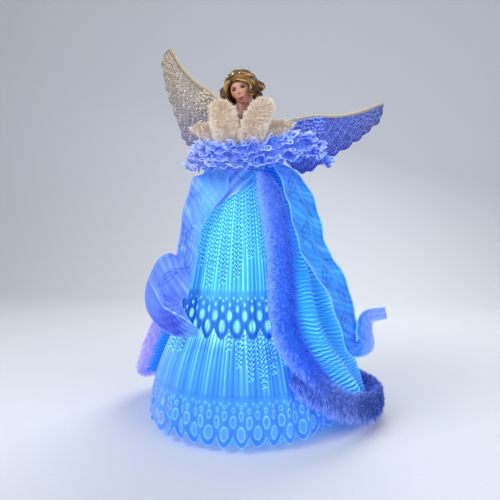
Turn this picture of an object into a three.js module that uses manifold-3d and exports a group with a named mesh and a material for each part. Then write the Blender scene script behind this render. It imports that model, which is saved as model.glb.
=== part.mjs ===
// Lighted angel tree topper: a plastic cone that slips over the tip of a tree carries a resin figure,
// its cloth dress and cloak, two wings on riveted pivots, and a battery lamp string inside the dress.
// Millimetres, +Z up. The angel faces -Y, so its own left side is +X. The origin is the centre of the foot.
import * as THREE from "three";
import { mergeVertices } from "three/addons/utils/BufferGeometryUtils.js";
import Module from "manifold-3d";

const wasm = await Module();
wasm.setup();

// Fits
const seatGap = 0.35; // between a piece and the one it is seated on
const runGap = 0.3; // between a turning or sliding piece and its guide
const clothThickness = 1.0;

// Support cone
const coneHeight = 250;
const coneBaseRadius = 78;
const coneTopRadius = 15;
const coneWall = 1.6;
const footWidth = 6;
const footThickness = 2;
const roundSides = 28;

// Resin figure
const spigotLength = 14;
const waistRadius = 18;
const chestRadius = 27;
const chestHeight = 304;
const shoulderRadius = 25;
const shoulderHeight = 327;
const neckRadius = 9;
const neckHeight = 344;
const headPegRadius = 5;
const headPegLength = 8;
const faceHeight = 35; // chin to crown
const neckLength = 13;
const faceWidth = 26;
const faceDepth = 30;
const headForward = 4;
const headTurn = -16; // towards its right shoulder, degrees
const headNod = 12;
const headTilt = 12;
const hairThickness = 3.6;
const hairlineAngle = 103; // how far the wig reaches round from its crown, degrees
const ringletRadius = 4.6;
const ringletStrand = 1.7;
const ringletTurns = 2;
const ringletPitch = 7.4;
const tiaraWire = 1.1;
const capGap = 0.9; // between the wig and the skull
const crownLean = 35; // how far back the wig's crown lies, degrees

// Dress
const skirtHemRadius = 104;
const skirtHemHeight = 7;
const skirtTopHeight = 165;
const skirtPleats = 30;
const skirtPleatDepth = 2.2;
const skirtScallops = 20;
const upperTopHeight = 282;
const upperHemHeight = 106;
const upperHemRadius = 82;
const upperPleats = 27;
const upperScallops = 18;
const upperPleatDepth = 1.4;
const scallopDepth = 8;
const waistbandHeight = 9;
const waistbandThickness = 2.4;

// Cloak with its fur
const cloakHemHeight = 12;
const cloakHemRadius = 118;
const cloakTrain = 34; // how much further the hem stands out behind
const cloakCornerRise = 20; // how much higher its front corners hang
const cloakFolds = 8;
const cloakFoldDepth = 5;
const furHalfWidth = 14;
const furHalfDepth = 7;
const hemFurHalfHeight = 16;
const hemFurDrop = 6; // how far the hem band hangs below the cloak
const hemFurOverhang = 3; // how far it passes the cloak's front edges, degrees
const collarFurRadius = 14;
const collarShift = 4; // the collar closes a little left of the middle
const sleeveRadius = 9;
const sleeveLength = 30;
const sleeveHeight = 326;
const claspBeads = 4;
const claspRadius = 1.65;

// Lace collar and sashes
const laceDrop = 25; // its seat on the cloak, below the shoulders
const laceRise = 9; // how far it stands up before it turns over
const laceRidgeRadius = 52;
const laceFall = 25; // its hem, below the seat
const laceHemRadius = 66;
const laceDip = 6; // how much lower it sits in front, below the lapels
const laceSpread = 30; // extra reach over the left arm
const laceWaves = 12;
const laceWaveDepth = 5;
const laceEnd = 104; // where it ends behind each arm, degrees from the front
const sashWidth = 50;

// Wings
const wingLength = 147;
const wingThickness = 2.6;
const wingChord = 0.92; // how deep a wing is drawn for its length
const covertThickness = 1.2;
const wingPlane = 46; // how far the wing plane lies behind the axis
const wingHingeHeight = 324;
const wingHingeSpacing = 36;
const leftWingRaise = 14; // degrees above level
const rightWingRaise = 53;
const wingScallops = 9;
const wingScallopDepth = 3.2;
const wingRimRadius = 1.7;
const bracketThickness = 3;
const bracketHeight = 20;
const bracketScrewRadius = 1.6;
const stemHeight = 9;
const stemWidth = 12;
const armThickness = 2;
const armRadius = 8;
const armReach = 34;
const rivetRadius = 2;
const rivetHeadRadius = 4;
const rivetHeadThickness = 1.4;

// Lamp string and battery box
const lampCount = 5;
const lampFirstHeight = 48;
const lampLastHeight = 212;
const lampFirstAngle = -140;
const lampLastAngle = 140;
const lampRadius = 2.5;
const lampLength = 13;
const lampHolderRadius = 4.2;
const lampFlangeRadius = 6.2;
const lampFlangeThickness = 1.4;
const lampHolderDepth = 6;
const wireRadius = 1.1;
const wireStart = -161; // where the lead leaves the battery box, degrees
const cellRadius = 7.1;
const cellLength = 50;
const cellPitch = 15.4;
const boxWall = 1.8;
const boxFoot = 14; // the box's lower end, up along the cone's wall
const boxStandOff = 4;
const springLength = 5;
const springRadius = 3.6;
const springWire = 0.5;
const contactThickness = 0.8;
const switchBay = 9;
const switchTravel = 4;
const knobWidth = 4;
const knobDepth = 3;
const sliderPlate = 1.4;
const lidThickness = 2;
const lidPinRadius = 1;
const earWidth = 5;
const boxScrewRadius = 1.5;

// Colours: white cloth lit blue from inside, ivory fur, painted resin
const finish = (color, roughness, metalness = 0) =>
  new THREE.MeshStandardMaterial({ color, roughness, metalness });
const litCloth = finish(0x55b0f6, 0.8);
const litLace = finish(0x6c97f6, 0.75);
const litSash = finish(0x6ea4fa, 0.6);
const ivoryFur = finish(0xb8a998, 0.95);
const litFur = finish(0x7a9df4, 0.95);
const skin = finish(0xd9a58a, 0.5);
const goldHair = finish(0x8a5f33, 0.6);
const goldMetal = finish(0xcaa55a, 0.3, 1);
const wingCloth = finish(0xcfc6bd, 0.5);
const wingRimGold = finish(0xc9b68c, 0.45, 0.4);
const milkyPlastic = finish(0xe6eef2, 0.5);
const whitePlastic = finish(0xf0f0ee, 0.45);
const blackPlastic = finish(0x202226, 0.5);
const clearLamp = finish(0xa8f0ff, 0.15);
const steel = finish(0xb9bcc0, 0.35, 1);
const cellWrap = finish(0x3f6b45, 0.4);
const wireSleeve = finish(0xf4f4f0, 0.5);

const radians = THREE.MathUtils.degToRad;
const lerp = THREE.MathUtils.lerp;
const smooth = (x, low, high) => THREE.MathUtils.smoothstep(x, low, high);

// A point at a radius, an angle from the front towards the angel's left, and a height
const polar = (radius, degrees, z) =>
  new THREE.Vector3(radius * Math.sin(radians(degrees)), -radius * Math.cos(radians(degrees)), z);

const root = new THREE.Group();

function add(name, geometry, material, parent = root) {
  const mesh = new THREE.Mesh(geometry, material);
  mesh.name = name;
  parent.add(mesh);
  return mesh;
}

// Closed surfaces from points and triangles
function surface(points, triangles) {
  const geometry = new THREE.BufferGeometry().setFromPoints(points);
  let volume = 0;
  for (const [a, b, c] of triangles) {
    volume += points[a].dot(points[b].clone().cross(points[c]));
  }
  const facing = volume > 0 ? triangles : triangles.map(([a, b, c]) => [a, c, b]);
  geometry.setIndex(facing.flat());
  return geometry;
}

// Skins rings of equal count and closes both ends on their middles
function loft(rings) {
  const count = rings[0].length;
  const points = rings.flat();
  const triangles = [];
  for (let r = 0; r + 1 < rings.length; r++) {
    for (let i = 0; i < count; i++) {
      const a = r * count + i;
      const b = r * count + ((i + 1) % count);
      triangles.push([a, b, a + count], [b, b + count, a + count]);
    }
  }
  for (const [row, flip] of [[0, true], [rings.length - 1, false]]) {
    const middle = rings[row].reduce((sum, p) => sum.add(p), new THREE.Vector3()).divideScalar(count);
    const tip = points.push(middle) - 1;
    for (let i = 0; i < count; i++) {
      const a = row * count + i;
      const b = row * count + ((i + 1) % count);
      triangles.push(flip ? [b, a, tip] : [a, b, tip]);
    }
  }
  return surface(points, triangles);
}

// A sheet of even thickness over a grid: face(u, v) gives each point of its outer side and
// thin(point, u, v) the point behind it. A round sheet joins its last column to its first.
function sheet(columns, rows, face, thin, round) {
  const across = round ? columns : columns + 1;
  const points = [];
  for (const side of [0, 1]) {
    for (let row = 0; row <= rows; row++) {
      for (let column = 0; column < across; column++) {
        const u = column / columns;
        const v = row / rows;
        const outer = face(u, v);
        points.push(side ? thin(outer, u, v) : outer);
      }
    }
  }
  const layer = across * (rows + 1);
  const at = (side, row, column) => side * layer + row * across + (column % across);
  const triangles = [];
  const quad = (a, b, c, d) => triangles.push([a, b, c], [a, c, d]);
  for (let row = 0; row < rows; row++) {
    for (let column = 0; column < columns; column++) {
      quad(at(0, row, column), at(0, row, column + 1), at(0, row + 1, column + 1), at(0, row + 1, column));
      quad(at(1, row, column), at(1, row + 1, column), at(1, row + 1, column + 1), at(1, row, column + 1));
    }
  }
  for (let column = 0; column < columns; column++) {
    quad(at(0, 0, column + 1), at(0, 0, column), at(1, 0, column), at(1, 0, column + 1));
    quad(at(0, rows, column), at(0, rows, column + 1), at(1, rows, column + 1), at(1, rows, column));
  }
  if (!round) {
    for (let row = 0; row < rows; row++) {
      quad(at(0, row, 0), at(0, row + 1, 0), at(1, row + 1, 0), at(1, row, 0));
      quad(at(0, row + 1, columns), at(0, row, columns), at(1, row, columns), at(1, row + 1, columns));
    }
  }
  return surface(points, triangles);
}

// An oval section, half width along side and half depth square to it, carried along a line of stations
function sweepOval(stations, sides) {
  const rings = stations.map((station, i) => {
    const before = stations[Math.max(i - 1, 0)].at;
    const after = stations[Math.min(i + 1, stations.length - 1)].at;
    const along = after.clone().sub(before).normalize();
    const side = station.side.clone().addScaledVector(along, -station.side.dot(along)).normalize();
    const out = along.clone().cross(side);
    return Array.from({ length: sides }, (_, k) => {
      const turn = (2 * Math.PI * k) / sides;
      return station.at
        .clone()
        .addScaledVector(side, station.halfWidth * Math.cos(turn))
        .addScaledVector(out, station.halfDepth * Math.sin(turn));
    });
  });
  return loft(rings);
}

// Revolved about Z from a closed outline of [radius, height]
function turned(outline, sides = roundSides) {
  const profile = [...outline, outline[0]].map(([r, z]) => new THREE.Vector2(r, z));
  const geometry = new THREE.LatheGeometry(profile, sides).rotateX(Math.PI / 2);
  return solidGeometry(solid(geometry));
}

function rod(radius, from, to, sides = 16) {
  return turned([[0, from], [radius, from], [radius, to], [0, to]], sides);
}

function block(sizeX, sizeY, sizeZ, x, y, z) {
  return new THREE.BoxGeometry(sizeX, sizeY, sizeZ).translate(x, y, z);
}

// Joins and cuts
function solid(geometry) {
  const bare = geometry.clone();
  bare.deleteAttribute("normal");
  bare.deleteAttribute("uv");
  const merged = mergeVertices(bare, 1e-4);
  const kept = [];
  const index = merged.index.array;
  for (let i = 0; i < index.length; i += 3) {
    const [a, b, c] = [index[i], index[i + 1], index[i + 2]];
    if (a !== b && b !== c && c !== a) kept.push(a, b, c);
  }
  const triVerts = new Uint32Array(kept);
  const vertProperties = merged.attributes.position.array;
  const make = () => new wasm.Manifold(new wasm.Mesh({ numProp: 3, vertProperties, triVerts }));
  const made = make();
  if (made.volume() >= 0) return made;
  for (let i = 0; i < triVerts.length; i += 3) {
    [triVerts[i + 1], triVerts[i + 2]] = [triVerts[i + 2], triVerts[i + 1]];
  }
  return make();
}

function solidGeometry(body) {
  const mesh = body.getMesh();
  const geometry = new THREE.BufferGeometry();
  geometry.setAttribute("position", new THREE.BufferAttribute(mesh.vertProperties, 3));
  return geometry.setIndex(new THREE.BufferAttribute(mesh.triVerts, 1));
}

const join = (first, ...rest) =>
  solidGeometry(rest.reduce((body, g) => body.add(solid(g)), solid(first)));
const cut = (first, ...rest) =>
  solidGeometry(rest.reduce((body, g) => body.subtract(solid(g)), solid(first)));

// Support cone, with a foot to stand on and a hole for each lamp and screw
const coneSlope = (coneBaseRadius - coneTopRadius) / coneHeight;
const coneLean = Math.atan(coneSlope);
const coneRadius = (z) => coneBaseRadius - coneSlope * z;
const coneWallRadial = coneWall / Math.cos(coneLean);
// The flats of a round lie this far inside it
const facetDrop = coneBaseRadius * (1 - Math.cos(Math.PI / roundSides));

// A frame on the cone's outer face: local Z points out of the wall and local Y up along it
function coneFrame(degrees, z) {
  const out = polar(Math.cos(coneLean), degrees, Math.sin(coneLean));
  const across = polar(1, degrees + 90, 0);
  const up = out.clone().cross(across);
  const frame = new THREE.Matrix4().makeBasis(across, up, out);
  return frame.setPosition(polar(coneRadius(z), degrees, z));
}

const lamps = Array.from({ length: lampCount }, (_, i) => {
  const share = i / (lampCount - 1);
  const degrees = lerp(lampFirstAngle, lampLastAngle, share);
  const height = lerp(lampFirstHeight, lampLastHeight, share);
  return { name: i + 1, degrees, height, frame: coneFrame(degrees, height) };
});

const boxLength = cellLength + springLength + 2 * contactThickness + switchBay + 3 * boxWall;
const boxWidth = cellPitch + 2 * cellRadius + 2 * boxWall + 1;
const boxDepth = 2 * cellRadius + boxWall + 1.2;
const boxMiddleHeight = (boxFoot + boxLength / 2) * Math.cos(coneLean);
const boxFrame = coneFrame(180, boxMiddleHeight);
const boxScrewOffsets = [-boxLength / 4, boxLength / 4];

const holeThrough = (frame, radius, y = 0) =>
  rod(radius, -4 * coneWall, 4 * coneWall, 10).translate(0, y, 0).applyMatrix4(frame);

const coneShell = turned([
  [coneRadius(0) - coneWallRadial, 0],
  [coneRadius(0) + footWidth, 0],
  [coneRadius(0) + footWidth, footThickness],
  [coneRadius(footThickness), footThickness],
  [coneTopRadius, coneHeight],
  [coneTopRadius - coneWallRadial, coneHeight],
]);
add(
  "support_cone",
  cut(
    coneShell,
    ...lamps.map((lamp) => holeThrough(lamp.frame, lampHolderRadius + runGap)),
    ...boxScrewOffsets.map((y) => holeThrough(boxFrame, boxScrewRadius + runGap, y)),
  ),
  milkyPlastic,
);

// Lamps in their holders, and the lead that runs behind them
for (const lamp of lamps) {
  const bore = lampRadius + runGap;
  const holder = turned(
    [
      [bore, -lampHolderDepth],
      [lampHolderRadius, -lampHolderDepth],
      [lampHolderRadius, seatGap],
      [lampFlangeRadius, seatGap],
      [lampFlangeRadius, seatGap + lampFlangeThickness],
      [bore, seatGap + lampFlangeThickness],
    ],
    10,
  );
  add(`lamp_holder_${lamp.name}`, holder.applyMatrix4(lamp.frame), whitePlastic);
  const tail = -lampHolderDepth - 1;
  const domeLow = tail + lampLength - lampRadius;
  const dome = new THREE.EllipseCurve(0, domeLow, lampRadius, lampRadius, 0, Math.PI / 2);
  const outline = dome.getPoints(3).map((p) => [Math.max(p.x, 0), p.y]);
  outline[outline.length - 1][0] = 0;
  const bulb = turned([[0, tail], [lampRadius, tail], ...outline], 8);
  add(`led_lamp_${lamp.name}`, bulb.applyMatrix4(lamp.frame), clearLamp);
}

const wireDepth = lampHolderDepth + 1 + seatGap + wireRadius;
const wireEnd = lamps[lampCount - 1];
const wireSteps = 17;
const wireLine = Array.from({ length: wireSteps + 1 }, (_, i) => {
  const share = i / wireSteps;
  const degrees = lerp(wireStart, wireEnd.degrees + 4, share);
  const onString = (degrees - lampFirstAngle) / (lampLastAngle - lampFirstAngle);
  const height = lerp(lampFirstHeight, lampLastHeight, onString);
  const frame = coneFrame(degrees, Math.max(height, lampFirstHeight / 2));
  return new THREE.Vector3(0, 0, -wireDepth).applyMatrix4(frame);
});
const wireSection = new THREE.Shape().absarc(0, 0, wireRadius, 0, 2 * Math.PI);
const wireGeometry = new THREE.ExtrudeGeometry(wireSection, {
  steps: 34,
  curveSegments: 3,
  bevelEnabled: false,
  extrudePath: new THREE.CatmullRomCurve3(wireLine),
});
add("lamp_lead", solidGeometry(solid(wireGeometry)), wireSleeve);

// Battery box on the back wall: local X across, Y up along the wall, Z towards the cone's axis
const boxGroup = new THREE.Group();
const inward = new THREE.Matrix4().makeRotationY(Math.PI);
boxGroup.applyMatrix4(boxFrame.clone().multiply(inward));
root.add(boxGroup);

const boxBack = coneWall + boxStandOff;
const boxFront = boxBack + boxDepth;
const boxLow = -boxLength / 2;
const boxHigh = boxLength / 2;
const cellMiddle = boxBack + boxWall + cellRadius + 0.4;
const cellBayLow = boxLow + 2 * boxWall + switchBay;
const cellBayHigh = boxHigh - boxWall;
const cellBayLength = cellBayHigh - cellBayLow;
const switchMiddle = boxBack + boxDepth / 2;
const postLength = boxStandOff - seatGap;
const bayWidth = boxWidth - 2 * boxWall;
const bayMiddle = boxBack + boxWall + boxDepth / 2;

const boxShell = cut(
  join(
    block(boxWidth, boxLength, boxDepth, 0, 0, boxBack + boxDepth / 2),
    ...boxScrewOffsets.map((y) =>
      rod(2.4 * boxScrewRadius, coneWall + facetDrop + seatGap, boxBack + boxWall, 12).translate(0, y, 0),
    ),
  ),
  block(bayWidth, cellBayLength, boxDepth, 0, (cellBayLow + cellBayHigh) / 2, bayMiddle),
  block(bayWidth, switchBay, boxDepth, 0, boxLow + boxWall + switchBay / 2, bayMiddle),
  block(knobWidth + switchTravel + 2 * runGap, 4 * boxWall, knobDepth + 2 * runGap, 0, boxLow, switchMiddle),
  ...boxScrewOffsets.map((y) =>
    rod(boxScrewRadius + runGap, 0, boxBack + boxWall + 0.01, 12).translate(0, y, 0),
  ),
);
// Screws come through the cone from outside into the box's posts
const screwHead = 2 * boxScrewRadius;
boxScrewOffsets.forEach((y, i) => {
  const screw = turned(
    [
      [0, -seatGap - 1.6],
      [screwHead * 0.6, -seatGap - 1.6],
      [screwHead, -seatGap - 0.6],
      [screwHead, -seatGap],
      [boxScrewRadius, -seatGap],
      [boxScrewRadius, postLength + boxWall],
      [0, postLength + boxWall],
    ],
    12,
  );
  add(`box_screw_${i + 1}`, screw.translate(0, y, 0), steel, boxGroup);
});

// Two cells, each between a spring at its foot and a contact plate at its head
[-1, 1].forEach((side, i) => {
  const x = (side * cellPitch) / 2;
  const low = cellBayLow + contactThickness + springLength;
  const cell = turned(
    [
      [0, 0],
      [cellRadius, 0],
      [cellRadius, cellLength - 1.6],
      [2.7, cellLength - 1.6],
      [2.7, cellLength - seatGap],
      [0, cellLength - seatGap],
    ],
    16,
  );
  cell.rotateX(-Math.PI / 2).translate(x, low, cellMiddle);
  add(`battery_cell_${i + 1}`, cell, cellWrap, boxGroup);
  const turns = 3;
  const steps = 8 * turns;
  const coil = Array.from({ length: steps + 1 }, (_, k) => {
    const turn = (2 * Math.PI * k) / 8;
    const rise = lerp(springWire + 0.05, springLength + contactThickness - springWire - seatGap, k / steps);
    const reach = springRadius * lerp(1, 0.6, k / steps);
    const [across, deep] = [reach * Math.cos(turn), reach * Math.sin(turn)];
    const at = new THREE.Vector3(x + across, cellBayLow + rise, cellMiddle + deep);
    return { at, side: new THREE.Vector3(0, 1, 0), halfWidth: springWire, halfDepth: springWire };
  });
  add(`cell_spring_${i + 1}`, sweepOval(coil, 5), steel, boxGroup);
});

const bridgeMiddle = cellBayHigh - contactThickness / 2 - 0.05;
const bridgeWidth = cellPitch + 1.2 * cellRadius;
const bridge = block(bridgeWidth, contactThickness, 1.4 * cellRadius, 0, bridgeMiddle, cellMiddle);
add("contact_bridge", bridge, steel, boxGroup);

// Slide switch: a body in the lower bay and a knob through the slot below it
const sliderMiddle = boxLow + boxWall + runGap + sliderPlate / 2;
const knobHeight = boxWall + 2.4 + sliderPlate;
const slider = join(
  block(knobWidth + 2 * switchTravel, sliderPlate, knobDepth + 4, 0, sliderMiddle, switchMiddle),
  block(knobWidth, knobHeight, knobDepth, 0, sliderMiddle - boxWall / 2 - 1.2, switchMiddle),
);
const switchRest = new THREE.Vector3(-switchTravel / 2, 0, 0);
add("switch_slider", slider.translate(...switchRest), blackPlastic, boxGroup);
const switchBodyHeight = switchBay - sliderPlate - 3 * runGap;
const switchBodyLow = boxLow + boxWall + 2 * runGap + sliderPlate;
const switchBodyMiddle = switchBodyLow + switchBodyHeight / 2;
add(
  "switch_body",
  block(boxWidth / 2, switchBodyHeight, knobDepth + 6, 0, switchBodyMiddle, switchMiddle),
  blackPlastic,
  boxGroup,
);

// Lid hinged on a pin along the box's upper edge, between two ears of the box
const lidHingeY = boxHigh - 3;
const knuckleRadius = lidPinRadius + 1.2;
const lidHingeZ = boxFront + runGap + knuckleRadius;
const lidMiddle = boxFront + runGap + lidThickness / 2;
const lidLow = boxLow + runGap;
const earMiddle = (boxWidth - earWidth) / 2;
const earDepth = knuckleRadius + runGap + 0.5;
const pinAlongX = (radius, length, x = 0) =>
  rod(radius, -length / 2, length / 2, 12).rotateY(Math.PI / 2).translate(x, lidHingeY, lidHingeZ);
const ears = [-earMiddle, earMiddle].flatMap((x) => [
  pinAlongX(knuckleRadius, earWidth, x),
  block(earWidth, 2 * knuckleRadius, earDepth, x, lidHingeY, lidHingeZ - earDepth / 2),
]);
const pinBore = pinAlongX(lidPinRadius + runGap / 2, boxWidth + 2);
add("battery_box", cut(join(boxShell, ...ears), pinBore), whitePlastic, boxGroup);
const lid = cut(
  join(
    block(boxWidth, lidHingeY - lidLow, lidThickness, 0, (lidHingeY + lidLow) / 2, lidMiddle),
    pinAlongX(knuckleRadius, boxWidth - 2 * earWidth - 2 * runGap),
  ),
  pinBore,
  ...[-earMiddle, earMiddle].map((x) =>
    block(earWidth + 2 * runGap, 2 * knuckleRadius + 1, 4 * knuckleRadius, x, lidHingeY, lidHingeZ),
  ),
);
add("battery_lid", lid, whitePlastic, boxGroup);
add("lid_pin", pinAlongX(lidPinRadius, boxWidth - 2), steel, boxGroup);

// Figure: a bust whose spigot drops into the cone, and a head whose peg drops into the neck
const torsoOutline = new THREE.SplineCurve(
  [
    [waistRadius, coneHeight + seatGap],
    [lerp(waistRadius, chestRadius, 0.55), lerp(coneHeight, chestHeight, 0.5)],
    [chestRadius, chestHeight],
    [shoulderRadius, shoulderHeight],
    [lerp(neckRadius, shoulderRadius, 0.35), lerp(shoulderHeight, neckHeight, 0.45)],
    [neckRadius, neckHeight],
  ].map(([r, z]) => new THREE.Vector2(r, z)),
);
const torsoProfile = torsoOutline.getPoints(10);
const spigotRadius = coneTopRadius - coneWallRadial - seatGap;
const torso = turned(
  [
    [0, coneHeight - spigotLength],
    [spigotRadius, coneHeight - spigotLength],
    [spigotRadius, coneHeight + seatGap],
    ...torsoProfile.map((p) => [p.x, p.y]),
    [headPegRadius + seatGap, neckHeight],
    [headPegRadius + seatGap, neckHeight - headPegLength - seatGap],
    [0, neckHeight - headPegLength - seatGap],
  ],
  20,
);
function torsoRadius(z) {
  const next = Math.max(1, torsoProfile.findIndex((p) => p.y >= z));
  const [a, b] = [torsoProfile[next - 1], torsoProfile[next]];
  return lerp(a.x, b.x, (z - a.y) / (b.y - a.y));
}

// Head: an egg with a brow, nose, mouth and chin drawn into its front
const headMiddle = new THREE.Vector3(0, -headForward, neckHeight + faceHeight / 2 + neckLength);
const headGroup = new THREE.Group();
headGroup.position.set(0, 0, neckHeight);
root.add(headGroup);
const headPose = new THREE.Group();
headPose.position.copy(headMiddle).sub(headGroup.position);
headPose.rotation.set(radians(headNod), radians(-headTilt), radians(headTurn), "ZXY");
headGroup.add(headPose);

// A direction at a fall from straight up and a turn from the front
const onBall = (fall, turn) =>
  new THREE.Vector3(Math.sin(fall) * Math.sin(turn), -Math.sin(fall) * Math.cos(turn), Math.cos(fall));

// Distance from the head's middle to its skin, along a direction
function headReach(direction) {
  const { x, y, z } = direction;
  const egg = 1 / Math.hypot(x / (faceWidth / 2), y / (faceDepth / 2), z / (faceHeight / 2));
  const front = smooth(-y, 0.2, 0.9);
  const bump = (px, pz, wide, high) => Math.exp(-(((x - px) / wide) ** 2) - ((z - pz) / high) ** 2);
  const nose = 2.6 * bump(0, -0.16, 0.1, 0.15);
  const brow = 0.7 * bump(0, 0.22, 0.5, 0.1);
  const eyes = -1.1 * (bump(0.3, 0.06, 0.14, 0.09) + bump(-0.3, 0.06, 0.14, 0.09));
  const lips = 0.9 * bump(0, -0.45, 0.18, 0.07);
  const chin = 1.5 * bump(0, -0.75, 0.22, 0.16);
  const jaw = -2.2 * smooth(-z, 0.25, 0.85) * smooth(Math.abs(x), 0.25, 0.7);
  return egg + front * (nose + brow + eyes + lips + chin) + jaw;
}

const headAround = 24;
const headRows = 16;
const headRings = Array.from({ length: headRows - 1 }, (_, row) => {
  const fall = (Math.PI * (row + 1)) / headRows;
  return Array.from({ length: headAround }, (_, k) => {
    const turn = (2 * Math.PI * k) / headAround;
    const direction = onBall(fall, turn);
    return direction.multiplyScalar(headReach(direction));
  });
});
const headPeg = rod(headPegRadius, neckHeight - headPegLength, headMiddle.z - faceHeight / 4, 16);
const neckColumn = turned(
  [
    [0, neckHeight + seatGap],
    [neckRadius, neckHeight + seatGap],
    [neckRadius * 0.82, neckHeight + faceHeight * 0.16],
    [neckRadius * 0.8, headMiddle.z - faceHeight / 6],
    [0, headMiddle.z - faceHeight / 6],
  ],
  20,
);
headPose.updateWorldMatrix(true, false);
const skull = loft(headRings).applyMatrix4(headPose.matrixWorld);
const screwPilot = rod(bracketScrewRadius + runGap, shoulderRadius - 12, shoulderRadius + 5, 12);
screwPilot.rotateX(-Math.PI / 2).translate(0, 0, wingHingeHeight);
add("torso", cut(torso, screwPilot), skin);
const head = join(skull, neckColumn, headPeg);
add("head", head, skin);

// Wig: a cap round the crown with a lumpy, curled surface
const crown = new THREE.Vector3(0, Math.sin(radians(crownLean)), Math.cos(radians(crownLean)));
const crownTurn = new THREE.Quaternion().setFromUnitVectors(new THREE.Vector3(0, 0, 1), crown);
const capDirection = (fall, turn) => onBall(fall, turn).applyQuaternion(crownTurn);
const capRows = 7;
const capAround = 21;
function capPoint(row, k, lift) {
  const fall = (radians(hairlineAngle) * row) / capRows;
  const direction = capDirection(fall, (2 * Math.PI * k) / capAround);
  return direction.multiplyScalar(headReach(direction) + lift);
}
const capWave = (row, k) => 0.7 + 0.3 * Math.cos(Math.PI * row) * Math.cos((2 * Math.PI * k) / 3);
const capOuter = [];
const capInner = [];
for (let row = capRows; row >= 1; row--) {
  const ring = (lift) => Array.from({ length: capAround }, (_, k) => capPoint(row, k, lift(k)));
  capOuter.push(ring((k) => capGap + hairThickness * capWave(row, k)));
  capInner.push(ring(() => capGap));
}
const cap = cut(
  loft([...capInner.slice(0, 1), ...capOuter]),
  loft(capInner.map((ring, i) => (i ? ring : ring.map((p) => p.clone().multiplyScalar(1.2))))),
);
add("hair_cap", cut(cap.applyMatrix4(headPose.matrixWorld), neckColumn), goldHair);

// Ringlets hang beside the face and behind the neck, each one strand wound on itself
const ringlets = [
  { name: "hair_ringlet_left", x: 1, y: 0.1, top: 0.14, out: 0.5 },
  { name: "hair_ringlet_right", x: -1, y: 0.1, top: 0.3, out: -0.9 },
];
const ringletSpots = ringlets.map(({ name, x, y, top, out }) => {
  const reach = faceWidth / 2 + hairThickness + capGap + ringletRadius + ringletStrand - 1.1 + out;
  const start = new THREE.Vector3(x * reach, y * faceDepth, top * faceHeight);
  return { name, start: start.applyMatrix4(headPose.matrixWorld), hand: x };
});
for (const { name, start, hand } of ringletSpots) {
  const steps = 8 * ringletTurns;
  const strand = Array.from({ length: steps + 1 }, (_, k) => {
    const turn = (hand * 2 * Math.PI * k) / 8;
    const reach = ringletRadius * lerp(1, 0.7, k / steps);
    const wind = new THREE.Vector3(Math.cos(turn), Math.sin(turn), 0).multiplyScalar(reach);
    const at = start.clone().add(wind.setZ((-ringletPitch * k) / 8));
    const side = new THREE.Vector3(0, 0, 1);
    return { at, side, halfWidth: 1.5 * ringletStrand, halfDepth: ringletStrand };
  });
  add(name, sweepOval(strand, 6), goldHair);
}

// Tiara: a wire band resting on the wig above the brow
const tiaraLift = capGap + hairThickness + tiaraWire - 0.1;
const tiaraFall = radians(hairlineAngle - 24);
const tiaraStations = Array.from({ length: 17 }, (_, k) => {
  const turn = radians(lerp(-72, 72, k / 16));
  const direction = capDirection(tiaraFall, turn);
  const local = direction.clone().multiplyScalar(headReach(direction) + tiaraLift);
  const at = local.applyMatrix4(headPose.matrixWorld);
  return { at, side: crown.clone(), halfWidth: 1.6 * tiaraWire, halfDepth: tiaraWire };
});
add("tiara", sweepOval(tiaraStations, 6), goldMetal);

// Dress: two pleated tiers gathered at the waist, each with a scalloped hem
const skirtShape = (t) => Math.sin((Math.PI / 2) * t ** 0.92);
const skirtTopRadius = coneRadius(skirtTopHeight) + seatGap + clothThickness;
const fallShare = (z, high, low) => THREE.MathUtils.clamp((high - z) / (high - low), 0, 1);
const skirtFall = (z) => fallShare(z, skirtTopHeight, skirtHemHeight);
const lowerRadius = (z) => lerp(skirtTopRadius, skirtHemRadius, skirtShape(skirtFall(z)));

// A point moved towards the axis
const inwards = (p, depth) => {
  const kept = 1 - depth / Math.hypot(p.x, p.y);
  return new THREE.Vector3(p.x * kept, p.y * kept, p.z);
};

// One tier: pleats deepen from the waist down and the hem is cut in scallops
function tier({ radius, topHeight, hemHeight, pleats, pleatDepth, scallops, rows }) {
  const columns = 2 * pleats;
  const face = (u, v) => {
    const tongue = Math.abs(Math.cos(Math.PI * scallops * u)) * scallopDepth;
    const low = hemHeight + scallopDepth - tongue;
    const z = lerp(topHeight, low, v);
    const pleat = (Math.round(u * columns) % 2 ? -1 : 1) * pleatDepth * v;
    return polar(radius(z) + pleat, 360 * u, z);
  };
  return sheet(columns, rows, face, (p) => inwards(p, clothThickness), true);
}
add(
  "skirt_lower",
  tier({
    radius: lowerRadius,
    topHeight: skirtTopHeight,
    hemHeight: skirtHemHeight,
    pleats: skirtPleats,
    pleatDepth: skirtPleatDepth,
    scallops: skirtScallops,
    rows: 4,
  }),
  litCloth,
);

const upperTopRadius = torsoRadius(upperTopHeight) + seatGap + clothThickness;
const upperFall = (z) => fallShare(z, upperTopHeight, upperHemHeight);
const upperRadius = (z) => lerp(upperTopRadius, upperHemRadius, upperFall(z) ** 0.6);
add(
  "skirt_upper",
  tier({
    radius: upperRadius,
    topHeight: upperTopHeight,
    hemHeight: upperHemHeight,
    pleats: upperPleats,
    pleatDepth: upperPleatDepth,
    scallops: upperScallops,
    rows: 4,
  }),
  litCloth,
);

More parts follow.
